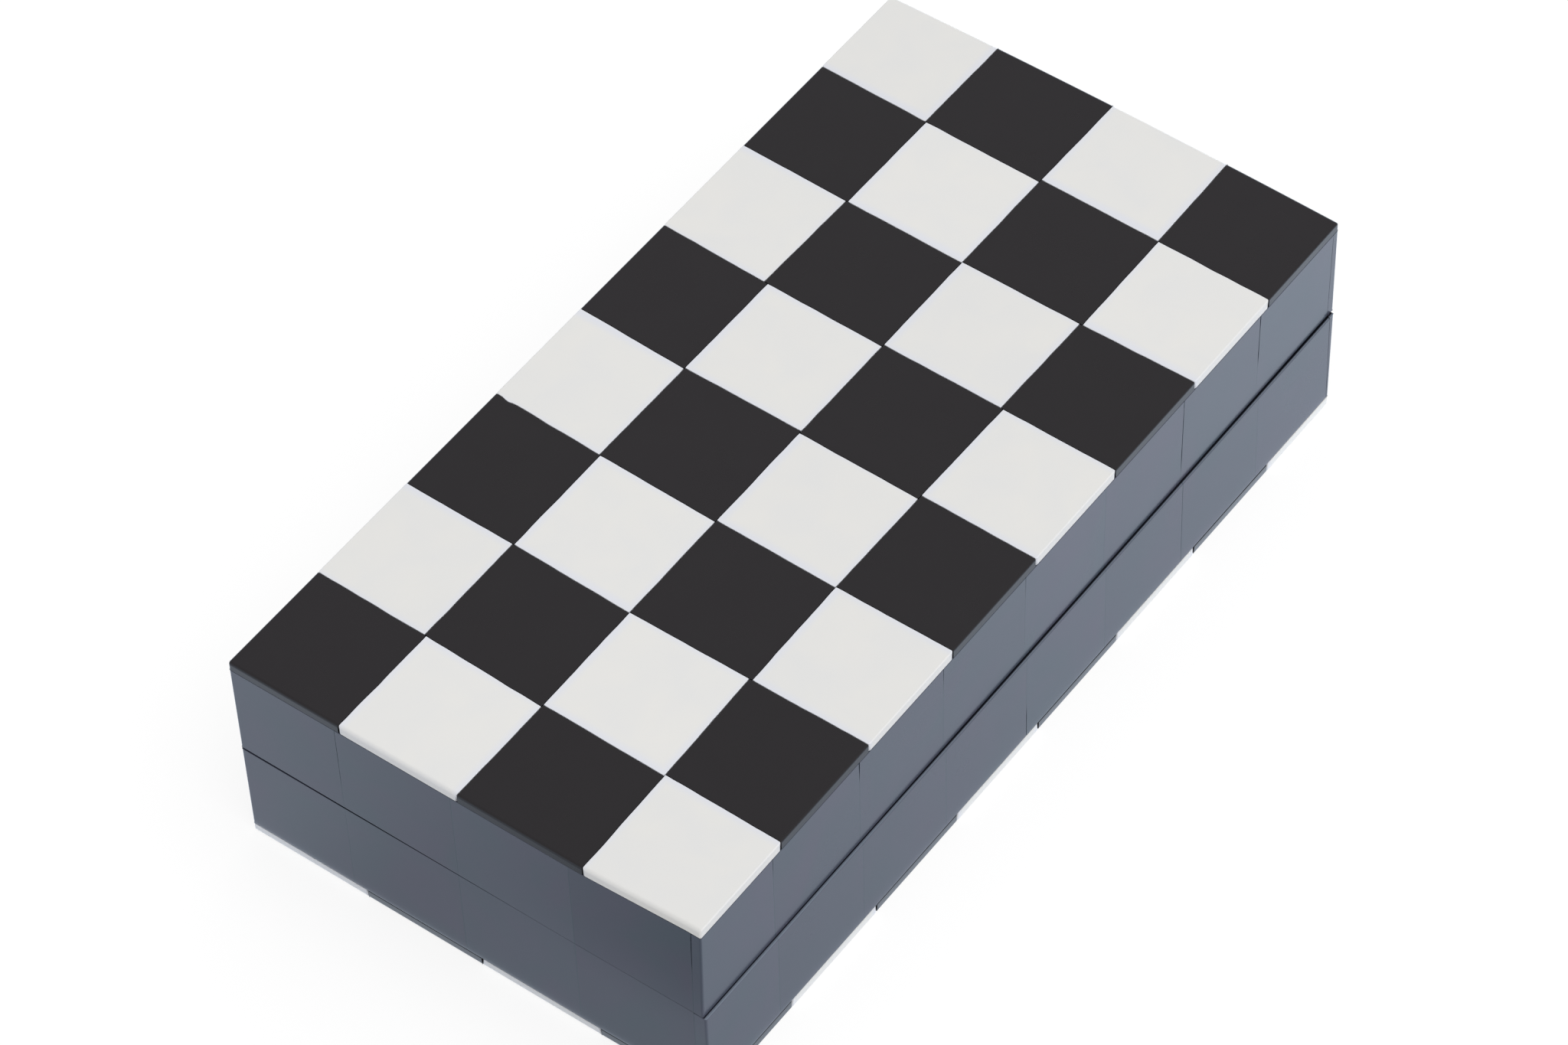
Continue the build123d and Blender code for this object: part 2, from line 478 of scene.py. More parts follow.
def polish_group() -> bpy.types.NodeTree:
    """The marks that hand polishing leaves: slow ripples, fine hairlines and a little haze.

    Returns:
        A group that puts out a roughness, and a height for a Bump node.
    """
    group = EffectGroup(
        "hand polish",
        {"Vector": Kind.VECTOR, "Roughness": Kind.VALUE, "Haze": Kind.VALUE, "Ripple": Kind.VALUE},
        {"Roughness": Kind.VALUE, "Height": Kind.VALUE},
    )
    haze_size, hair_width, ripple_size = metres((18.0, 0.7, 22.0))
    hair_tilt, hair_stretch = (0.4, 0.3, 0.7), (0.06, 1.0, 1.0)
    hair_limits, hair_strength = (0.62, 0.78), 0.25
    g, given = group.graph, group.given
    haze = g.noise(given["Vector"], haze_size, 4.0, 0.6)
    turned = g.node("ShaderNodeMapping", {"Vector": given["Vector"], "Rotation": hair_tilt}).outputs[0]
    drawn = g.vector_math("MULTIPLY", turned, hair_stretch)
    hairs = g.remap(g.noise(drawn, hair_width, 2.0, 0.7), hair_limits, (0.0, 1.0))
    spread = g.multiply(g.subtract(haze, 0.5), given["Haze"])
    marked = g.multiply(hairs, g.multiply(given["Haze"], hair_strength))
    rough = g.add(g.add(given["Roughness"], spread), marked, clamp=True)
    ripple = g.multiply(g.noise(given["Vector"], ripple_size, 1.0), given["Ripple"])
    return group.puts_out(Roughness=rough, Height=ripple)


def grain_group() -> bpy.types.NodeTree:
    """Straight, open grain along X.

    Returns:
        A group that puts out a tone from nought to one, and a pore mask.
    """
    group = EffectGroup(
        "straight grain",
        {"Vector": Kind.VECTOR, "Ring Size": Kind.VALUE},
        {"Tone": Kind.VALUE, "Pores": Kind.VALUE},
    )
    bend_size, pore_width = metres((30.0, 0.9))
    ring_stretch, pore_stretch = (0.12, 1.0, 1.0), (0.04, 1.0, 1.0)
    bend_strength, ring_share, pore_limits = 4.0, 0.6, (0.58, 0.7)
    g, given = group.graph, group.given
    slow = g.vector_math("MULTIPLY", given["Vector"], ring_stretch)
    bent = g.multiply(g.noise(slow, bend_size, 2.0), bend_strength)
    scale = g.math("DIVIDE", 1.0, given["Ring Size"])
    inputs = {"Vector": slow, "Scale": scale, "Distortion": bent, "Detail": 2.0}
    rings = g.node("ShaderNodeTexWave", inputs, bands_direction="Y").outputs["Fac"]
    fine = g.noise(g.vector_math("MULTIPLY", given["Vector"], pore_stretch), pore_width, 3.0, 0.7)
    tone = g.add(g.multiply(rings, ring_share), g.multiply(fine, 1.0 - ring_share))
    return group.puts_out(Tone=tone, Pores=g.remap(fine, pore_limits, (0.0, 1.0)))


class Effects:
    """The shader node groups that several finishes share."""

    def __init__(self) -> None:
        """Build every group once."""
        self.layout = tile_layout_group()
        self.clouds = cloud_group()
        self.polish = polish_group()
        self.grain = grain_group()


@dataclass(frozen=True)
class TileLayout:
    """Where the seams of a row or grid of tiles lie, in millimetres."""

    first_seam: Triple
    tile_size: Triple

    def inputs(self) -> dict[str, tuple[float, ...]]:
        """The layout as inputs of the tile layout group, in metres."""
        return {"First Seam": metres(self.first_seam), "Tile Size": metres(self.tile_size)}


@dataclass(frozen=True)
class CastResin:
    """Cast resin tiles, sanded flush and polished by hand.

    Attributes:
        body: The resin's main colour, as are cloud, edge and speck those of its patches, seams and specks.
        edge_reach: How far from a seam its colour reaches, in millimetres.
        speck_share: Which share of the cells of a grid holds a speck.
        speck_spacing: The width of such a cell, in millimetres.
        speck_size: Where a speck starts and ends to fade, as shares of a cell.
        tile_spread: How much lighter or darker one tile may be than another.
        painted_gap_shade: Painted shade: the dark colour put on a tile's rim in the parting gap between the
            halves, where there is one, in place of the shadow that falls there.
        painted_ledge_highlight: Painted highlight: the lighter colour put on the arris of the lower front's
            ledge, outside that rim, in place of the light that falls there.
        gap_shade_reach: Where the painted gap shade starts and ends to fade, from the middle of the parting.
        highlight_reach: The same for the painted highlight.
        highlight_depth: Where the painted highlight goes over into the painted gap shade, inwards from the
            outer face.
        highlight_run: The X between which the painted highlight gets narrower.
        highlight_deeper: How much further in it reaches at each of them.
        crisp: How far the painted gap shade is moved outwards on the three sides that have no painted
            highlight.
    """

    name: str
    body: str
    cloud: str
    cloud_size: float
    edge: str
    edge_reach: float
    speck: str
    speck_share: float
    tile_spread: float
    roughness: float
    haze: float
    ripple: float
    specular: float
    cloud_contrast: float = 2.2
    speck_spacing: float = 4.2
    speck_size: Pair = (0.03, 0.09)
    speck_strength: float = 0.55
    refraction: float = 1.5
    painted_gap_shade: str | None = None
    painted_ledge_highlight: str | None = None
    gap_shade_reach: Pair = (0.34, 0.44)
    highlight_reach: Pair = (0.3, 0.55)
    highlight_depth: Pair = (0.25, 0.6)
    highlight_run: Pair = (-100.0, -20.0)
    highlight_deeper: Pair = (0.3, 0.06)
    crisp: float = 0.3

    def rims(self, g: Graph, place: Socket) -> tuple[Socket, Socket]:
        """Masks of the painted shade in the parting gap and of the painted highlight on the ledge's arris.

        Args:
            g: The material's graph.
            place: Object coordinates.

        Returns:
            The mask of the painted gap shade and that of the painted ledge highlight.
        """
        s = CaseSizes()
        x, y, z = g.parts(place)
        over = g.subtract(z, s.height / 2 * MM)
        below = g.math("LESS_THAN", over, 0.0)
        ledge = g.multiply(below, (s.front - s.lower_front) * MM)
        lean = s.end_lean[0] + s.end_lean[1] * s.height / 2
        corner = g.remap(y, metres(s.corner_run), (s.corner_cut[0] * MM, 0.0), Course.EVEN)
        end_in = g.add(g.multiply(y, s.end_skew), corner)
        heel = g.multiply(below, g.remap(y, metres(s.heel_run), (0.0, s.heel_in[0] * MM), Course.EVEN))
        highlight_inset = g.remap(x, metres(self.highlight_run), metres(self.highlight_deeper))
        right = g.subtract(g.subtract((s.right + self.crisp) * MM, x), heel)
        left = g.subtract(g.subtract(x, (s.left + lean - self.crisp) * MM), end_in)
        back = g.subtract((s.back + self.crisp) * MM, y)
        front = g.subtract(g.add(g.subtract(y, s.front * MM), ledge), highlight_inset)
        ends = g.math("MINIMUM", right, left)
        depth = g.math("MINIMUM", ends, g.math("MINIMUM", back, front))
        inside = g.remap(depth, metres(self.highlight_depth), (0.0, 1.0))
        outermost = g.remap(front, metres(self.highlight_depth), (1.0, 0.0))
        apart = g.math("ABSOLUTE", over)
        # The first mask is painted shade standing in for the shadow in the parting gap, the second a painted
        # highlight on the ledge's arris.
        rim = g.remap(apart, metres(self.gap_shade_reach), (1.0, 0.0))
        arris = g.remap(apart, metres(self.highlight_reach), (1.0, 0.0))
        return g.multiply(rim, inside), g.multiply(arris, g.multiply(below, outermost))

    def specked(self, g: Graph, place: Socket, colour: Socket) -> Socket:
        """Scatter rare, small specks over a colour.

        Args:
            g: The material's graph.
            place: Object coordinates.
            colour: The colour without specks.

        Returns:
            The colour with them.
        """
        inputs = {"Vector": place, "Scale": 1 / (self.speck_spacing * MM), "Randomness": 1.0}
        cells = g.node("ShaderNodeTexVoronoi", inputs).outputs
        chosen = g.node("ShaderNodeSeparateColor", {0: cells["Color"]}).outputs[0]
        rare = g.math("LESS_THAN", chosen, self.speck_share)
        dot = g.remap(cells["Distance"], self.speck_size, (1.0, 0.0))
        return g.mix(g.multiply(rare, g.multiply(dot, self.speck_strength)), colour, linear(self.speck))

    def material(self, effects: Effects, layout: TileLayout, suffix: str) -> bpy.types.Material:
        """Make the finish for one layout of tiles.

        Args:
            effects: The shared node groups.
            layout: Where the tiles' seams lie.
            suffix: What tells this layout's material from the others.

        Returns:
            The material.
        """
        made, g = new_material(f"{self.name}_{suffix}")
        place = g.place()
        tiles = g.effect(effects.layout, {"Vector": place, **layout.inputs()})
        offset = g.node("ShaderNodeCombineXYZ", {2: tiles["Tile Value"]}).outputs[0]
        moved = g.vector_math("ADD", place, offset)
        patches = {"Vector": moved, "Size": self.cloud_size * MM, "Contrast": self.cloud_contrast}
        clouds = g.effect(effects.clouds, patches)
        colour = g.mix(clouds["Mask"], linear(self.body), linear(self.cloud))
        near_seam = g.remap(tiles["Seam Distance"], (0.0, self.edge_reach * MM), (1.0, 0.0))
        colour = g.mix(near_seam, colour, linear(self.edge))
        level = g.remap(tiles["Tile Value"], (0.0, 1.0), (1 - self.tile_spread, 1 + self.tile_spread))
        levels = g.node("ShaderNodeCombineXYZ", {0: level, 1: level, 2: level}).outputs[0]
        colour = self.specked(g, place, g.mix(1.0, colour, levels, "MULTIPLY"))
        # Painted light: a dark colour stands in for the shadow in the parting gap, and a lighter one for light
        # on the lower front ledge's arris.
        if self.painted_gap_shade and self.painted_ledge_highlight:
            painted_gap_shade, painted_ledge_highlight = self.rims(g, place)
            colour = g.mix(painted_ledge_highlight, colour, linear(self.painted_ledge_highlight))
            colour = g.mix(painted_gap_shade, colour, linear(self.painted_gap_shade))
        marks = {"Vector": place, "Roughness": self.roughness, "Haze": self.haze, "Ripple": self.ripple * MM}
        polish = g.effect(effects.polish, marks)
        g.principled(
            {
                "Base Color": colour,
                "Roughness": polish["Roughness"],
                "Normal": g.bump(polish["Height"], 1.0),
                "IOR": self.refraction,
                "Specular IOR Level": self.specular,
            }
        )
        return made


@dataclass(frozen=True)
class SandedWood:
    """Sanded brown hardwood under a thin coat of oil."""

    name: str = "oiled_wood"
    dark: str = "#7a5f45"
    light: str = "#b3946f"
    pore: str = "#4b3828"
    roughness: float = 0.5
    roughness_spread: Pair = (0.1, -0.05)
    ring_size: float = 20.0
    pore_depth: float = 0.06
    refraction: float = 1.45

    def material(self, effects: Effects, grain: Grain) -> bpy.types.Material:
        """Make the finish.

        Args:
            effects: The shared node groups.
            grain: Which way its grain runs.

        Returns:
            The material.
        """
        made, g = new_material(f"{self.name}_{grain.value}")
        turn = 0.0 if grain is Grain.ALONG else math.pi / 2
        place = g.node("ShaderNodeMapping", {"Vector": g.place(), "Rotation": (0.0, 0.0, turn)}).outputs[0]
        wood = g.effect(effects.grain, {"Vector": place, "Ring Size": self.ring_size * MM})
        colour = g.mix(wood["Tone"], linear(self.dark), linear(self.light))
        limits = (self.roughness + self.roughness_spread[0], self.roughness + self.roughness_spread[1])
        g.principled(
            {
                "Base Color": g.mix(wood["Pores"], colour, linear(self.pore)),
                "Roughness": g.remap(wood["Tone"], (0.0, 1.0), limits),
                "Normal": g.bump(wood["Pores"], self.pore_depth * MM, sunk=True),
                "IOR": self.refraction,
            }
        )
        return made


@dataclass(frozen=True)
class WoolFelt:
    """Pressed wool felt: matted fibres with no weave, a soft nap and a little lint."""

    name: str = "wool_felt"
    dark: str = "#232427"
    light: str = "#3c3e43"
    lint: str = "#74767b"
    sheen: str = "#c3c9d2"
    curl_scale: float = 260.0
    curl_reach: float = 4.0
    fibre_width: float = 0.45
    fibre_stretch: float = 0.12
    fibre_share: float = 0.75
    fibre_depth: float = 0.35
    cloud_size: float = 14.0
    cloud_contrast: float = 1.6
    cloud_share: float = 0.3
    tone_limits: Pair = (0.35, 0.8)
    lint_stretch: Triple = (0.3, 1.0, 0.6)
    lint_width: float = 1.1
    lint_limits: Pair = (0.74, 0.8)
    lint_strength: float = 0.5
    rough_limits: Pair = (1.0, 0.86)

    def material(self, effects: Effects) -> bpy.types.Material:
        """Make the finish.

        Args:
            effects: The shared node groups.

        Returns:
            The material.
        """
        made, g = new_material(self.name)
        place = g.place()
        curls = {"Vector": place, "Scale": self.curl_scale, "Detail": 2.0}
        curl = g.node("ShaderNodeTexNoise", curls).outputs["Color"]
        centred = g.vector_math("SUBTRACT", curl, (0.5, 0.5, 0.5))
        bent = g.vector_math("ADD", place, g.vector_math("MULTIPLY", centred, (self.curl_reach * MM,) * 3))
        ways = []
        for stretch in ((1.0, self.fibre_stretch, 1.0), (self.fibre_stretch, 1.0, 1.0)):
            ways.append(g.noise(g.vector_math("MULTIPLY", bent, stretch), self.fibre_width * MM, 2.0, 0.6))
        fibres = g.math("MAXIMUM", *ways)
        patches = {"Vector": place, "Size": self.cloud_size * MM, "Contrast": self.cloud_contrast}
        clouds = g.effect(effects.clouds, patches)
        tone = g.add(g.multiply(fibres, self.fibre_share), g.multiply(clouds["Mask"], self.cloud_share))
        colour = g.mix(g.remap(tone, self.tone_limits, (0.0, 1.0)), linear(self.dark), linear(self.light))
        strand = g.noise(g.vector_math("MULTIPLY", bent, self.lint_stretch), self.lint_width * MM, 1.0)
        linted = g.remap(strand, self.lint_limits, (0.0, self.lint_strength))
        g.principled(
            {
                "Base Color": g.mix(linted, colour, linear(self.lint)),
                "Roughness": g.remap(fibres, (0.3, 0.8), self.rough_limits),
                "Normal": g.bump(fibres, self.fibre_depth * MM, 0.9),
                "Specular IOR Level": 0.2,
                "Sheen Weight": 0.35,
                "Sheen Roughness": 0.5,
                "Sheen Tint": linear(self.sheen),
            }
        )
        return made


@dataclass(frozen=True)
class WorkedMetal:
    """Turned, milled or plated metal with fine tool marks and a little tarnish."""

    name: str
    bright: str
    tarnish: str
    tarnish_share: float
    roughness: float
    marks: float
    tarnish_size: float = 4.0
    tarnish_contrast: float = 2.5
    tarnish_dulls: float = 0.25
    mark_stretch: Triple = (0.03, 1.0, 1.0)
    mark_width: float = 0.18
    mark_depth: float = 0.02

    def material(self, effects: Effects) -> bpy.types.Material:
        """Make the finish.

        Args:
            effects: The shared node groups.

        Returns:
            The material.
        """
        made, g = new_material(self.name)
        place = g.place()
        patches = {"Vector": place, "Size": self.tarnish_size * MM, "Contrast": self.tarnish_contrast}
        dulled = g.multiply(g.effect(effects.clouds, patches)["Mask"], self.tarnish_share)
        drawn = g.vector_math("MULTIPLY", place, self.mark_stretch)
        lines = g.noise(drawn, self.mark_width * MM, 2.0, 0.7)
        rough = g.remap(lines, (0.3, 0.7), (self.roughness - self.marks, self.roughness + self.marks))
        g.principled(
            {
                "Base Color": g.mix(dulled, linear(self.bright), linear(self.tarnish)),
                "Metallic": 1.0,
                "Roughness": g.add(rough, g.multiply(dulled, self.tarnish_dulls), clamp=True),
                "Normal": g.bump(lines, self.mark_depth * MM, 0.6),
            }
        )
        return made


@dataclass(frozen=True)
class Slab:
    """A flat tile drawn on its face, where u and v run along the face and w comes out of it, in millimetres.

    The radii of its eased edges go by side in the order low u, high u, low v, high v, and by corner in the
    order of CORNERS.

    Attributes:
        u: Its two ends.
        v: Its lower and upper limit.
        thickness: How far it reaches back from its face.
        face: The radii round its face, by side.
        depth: The radii of the edges that run back from its corners, by corner.
        heel: The radii round its rear, by side.
    """

    u: Pair
    v: Pair
    thickness: float
    face: Four
    depth: Four = (0.0, 0.0, 0.0, 0.0)
    heel: Four = (0.0, 0.0, 0.0, 0.0)

    def shares(self, point: Vector) -> Pair:
        """How far across and up the slab a point lies, as shares of its size."""
        across = (point.x - self.u[0]) / (self.u[1] - self.u[0])
        return across, (point.y - self.v[0]) / (self.v[1] - self.v[0])

    def side_of(self, point: Vector) -> int | None:
        """The number of the side that a point of the outline lies on.

        Args:
            point: The point.

        Returns:
            The number, or nothing where the point lies inside the outline.
        """
        gaps = (point.x - self.u[0], self.u[1] - point.x, point.y - self.v[0], self.v[1] - point.y)
        nearest = min(range(4), key=lambda n: gaps[n])
        return nearest if gaps[nearest] < TOUCHING else None

    def corner_of(self, point: Vector) -> int | None:
        """The number of the corner that a point lies at.

        Args:
            point: The point.

        Returns:
            The number, or nothing where the point lies at no corner.
        """
        for number, (a, b) in enumerate(CORNERS):
            if math.hypot(point.x - self.u[a], point.y - self.v[b]) < TOUCHING:
                return number
        return None

    def radius_at(self, edge: bmesh.types.BMEdge) -> float:
        """The easing of one of the slab's edges before it is bent.

        Args:
            edge: The edge.

        Returns:
            Its radius.
        """
        first, second = (v.co for v in edge.verts)
        if abs(first.z - second.z) > TOUCHING:
            corner = self.corner_of(first)
            return 0.0 if corner is None else self.depth[corner]
        side = self.side_of((first + second) / 2)
        if side is None:
            return 0.0
        return self.face[side] if abs(first.z) < TOUCHING else self.heel[side]


def pour(single: bmesh.types.BMesh, bm: bmesh.types.BMesh) -> None:
    """Add a finished mesh to a larger one.

    Args:
        single: The mesh to add. It is freed.
        bm: The mesh that gets it.
    """
    loose = bpy.data.meshes.new("loose")
    single.to_mesh(loose)
    single.free()
    bm.from_mesh(loose)
    bpy.data.meshes.remove(loose)


def add_slab(bm: bmesh.types.BMesh, slab: Slab, place: Matrix, cuts: int, bend: Bend, widest: float) -> None:
    """Add one slab to a mesh.

    Args:
        bm: The mesh that gets it.
        slab: Its outline and the radii of its edges.
        place: Turns u, v and w into the row frame, in millimetres.
        cuts: How many points divide each side, so that it can be bent.
        bend: Moves a point of the slab along its face.
        widest: The radius that has a bevel weight of one.
    """
    single = bmesh.new()
    size = (slab.u[1] - slab.u[0], slab.v[1] - slab.v[0])
    middle = Matrix.Translation((sum(slab.u) / 2, sum(slab.v) / 2, 0.0))
    outline = middle @ Matrix.Diagonal((*size, 1.0, 1.0))
    bmesh.ops.create_grid(single, x_segments=1, y_segments=1, size=0.5, matrix=outline)
    bmesh.ops.bisect_edges(single, edges=single.edges[:], cuts=cuts)
    front = set(single.verts)
    bmesh.ops.extrude_face_region(single, geom=single.faces[:])
    rear = [v for v in single.verts if v not in front]
    bmesh.ops.translate(single, vec=(0.0, 0.0, -slab.thickness), verts=rear)
    weight = single.edges.layers.float.new("bevel_weight_edge")
    single.normal_update()
    for edge in single.edges:
        edge[weight] = slab.radius_at(edge) / widest
        edge.smooth = edge[weight] > 0.0 or edge.calc_face_angle(0.0) < SHARP_ANGLE
    for vert in single.verts:
        vert.co = place @ bend(vert.co) * MM
    pour(single, bm)


def new_object(name: str, data: bpy.types.ID) -> bpy.types.Object:
    """Make an object and link it to the scene.

    Args:
        name: The object's name.
        data: Its mesh, camera or lamp.

    Returns:
        The object.
    """
    made = bpy.data.objects.new(name, data)
    bpy.context.scene.collection.objects.link(made)
    return made


def finish_mesh(name: str, bm: bmesh.types.BMesh, material: bpy.types.Material) -> bpy.types.Object:
    """Turn a mesh in work into an object at the origin.

    Args:
        name: The object's name.
        bm: The mesh, in metres in the row frame. It is freed.
        material: What it is made of.

    Returns:
        The object, linked to the scene and shaded smooth.
    """
    bmesh.ops.recalc_face_normals(bm, faces=bm.faces)
    for face in bm.faces:
        face.smooth = True
    mesh = bpy.data.meshes.new(name)
    bm.to_mesh(mesh)
    bm.free()
    if mesh.has_custom_normals:
        mesh.attributes.remove(mesh.attributes["custom_normal"])
    mesh.materials.append(material)
    return new_object(name, mesh)


def ease(piece: bpy.types.Object, radius: float, segments: int, weighted: bool) -> None:
    """Round a piece's edges with a Bevel modifier.

    Args:
        piece: The piece.
        radius: The widest radius, in millimetres.
        segments: Facets across the rounding.
        weighted: Whether the edges' own weights say which are rounded, and how much.
    """
    bevel = piece.modifiers.new("eased edges", "BEVEL")
    bevel.width = radius * MM
    bevel.segments = segments
    bevel.limit_method = "WEIGHT" if weighted else "ANGLE"
    bevel.angle_limit = SHARP_ANGLE
    bevel.use_clamp_overlap = not weighted
    bevel.harden_normals = True
    bevel.miter_outer = "MITER_SHARP"


def mount(piece: bpy.types.Object, half: Half, node: str) -> bpy.types.Object:
    """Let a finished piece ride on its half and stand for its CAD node.

    Args:
        piece: The finished piece.
        half: The half that it belongs to.
        node: The CAD node that it stands for.

    Returns:
        The same piece.
    """
    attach(piece, half.body)
    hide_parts(node)
    log.info("%s rides on %s for %s", piece.name, half.body, node)
    return piece


def eased_copy(name: str, node: str, material: bpy.types.Material, radius: float) -> bpy.types.Object:
    """Copy a CAD node, merge its loose triangles and ease its sharp edges.

    Args:
        name: The new piece's name.
        node: The CAD node.
        material: What the piece is made of.
        radius: How far its sharp edges are eased, in millimetres.

    Returns:
        The new piece.
    """
    bm = bmesh.new()
    bm.from_mesh(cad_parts[node].data)
    bmesh.ops.remove_doubles(bm, verts=bm.verts, dist=WELDED)
    bmesh.ops.dissolve_limit(bm, angle_limit=FLAT_ANGLE, verts=bm.verts, edges=bm.edges)
    piece = finish_mesh(name, bm, material)
    ease(piece, radius, 2, weighted=False)
    return piece


@dataclass
class Drift:
    """How far each square's seams lie from the drawn grid, in millimetres.

    Attributes:
        columns: For each seam between columns and each row, the X at the row's front and back end.
        rows: For each seam between rows and each column, the Y at the column's left and right end.
    """

    columns: list[list[list[float]]]
    rows: list[list[list[float]]]

    @classmethod
    def drawn(cls, seed: int, reach: float) -> "Drift":
        """Draw a drift by chance, for a face that the photograph doesn't show.

        Args:
            seed: Starts the draw.
            reach: The longest shift, in millimetres.

        Returns:
            The drift.
        """
        chance = random.Random(seed)

        def table(seams: int, pieces: int) -> list[list[list[float]]]:
            """Draw the shifts of every seam between squares, for both ends of each of its pieces."""
            shifts = iter([chance.uniform(-reach, reach) for _ in range(seams * pieces * 2)])
            return [[[next(shifts), next(shifts)] for _ in range(pieces)] for _ in range(seams)]

        return cls(table(COLUMNS - 1, ROWS), table(ROWS - 1, COLUMNS))

    def settled(self) -> "Drift":
        """Keep only the longer jog where four squares meet, so that no corner overlaps another.

        Returns:
            The same drift.
        """
        for i, column in enumerate(self.columns):
            for j, row in enumerate(self.rows):
                below, above = column[j], column[j + 1]
                before, after = row[i], row[i + 1]
                if abs(above[0] - below[1]) >= abs(after[0] - before[1]):
                    before[1] = after[0] = (before[1] + after[0]) / 2
                else:
                    below[1] = above[0] = (below[1] + above[0]) / 2
        return self


def measured_drift() -> Drift:
    """The drift of the upper face, as the photograph shows its seams.

    Returns:
        The drift.
    """
    columns = [
        [[-0.2, 0.2], [-0.5, -0.1], [-0.9, 0.1], [0.5, 0.9]],
        [[0.1, 0.0], [-0.6, -0.6], [-0.9, 0.1], [0.1, 0.4]],
        [[-0.1, -0.3], [-0.7, -0.2], [-0.9, 0.0], [0.1, 1.6]],
        [[-0.1, 0.4], [-1.3, -0.8], [0.1, 0.2], [-0.2, 1.2]],
        [[-0.6, -0.2], [-0.1, 0.2], [-0.7, -0.4], [0.4, 1.2]],
        [[-0.4, -0.6], [-1.2, -0.7], [-1.1, -0.2], [-0.7, 0.3]],
        [[-1.9, -1.2], [-1.3, -0.6], [-1.8, -0.8], [-1.2, -0.1]],
    ]
    rows = [
        [[-1.0, -0.5], [0.1, 0.9], [-0.1, 0.3], [0.7, 0.3], [0.1, -0.3], [0.6, 0.2], [-0.8, -0.5], [-0.3, 0.3]],
        [[0.2, 0.0], [0.2, 0.3], [0.4, 0.5], [0.5, 0.3], [0.6, 0.3], [0.3, 0.1], [0.5, 0.5], [-0.5, -0.4]],
        [[-0.1, -0.2], [0.4, 0.5], [0.1, 0.2], [0.6, 0.4], [0.3, 0.1], [1.6, 0.7], [0.1, -0.2], [0.2, -0.2]],
    ]
    return Drift(columns, rows)


@dataclass(frozen=True)
class Nick:
    """A place where a saw or file strayed on a seam between columns, in millimetres."""

    seam: int
    at: float
    depth: float
    reach: float

    def push(self, seam: int, along: float) -> float:
        """How far the nick moves a seam at a place along it."""
        return self.depth * math.exp(-(((along - self.at) / self.reach) ** 2)) if seam == self.seam else 0.0


@dataclass(frozen=True)
class OuterEdges:
    """How far one colour's squares are eased where they end at the outside of the case, in millimetres.

    Attributes:
        long: Along the case's front and back.
        end: Along its left and right end.
        depth: Down the outer face, at a seam between two squares.
    """

    long: float
    end: float
    depth: float


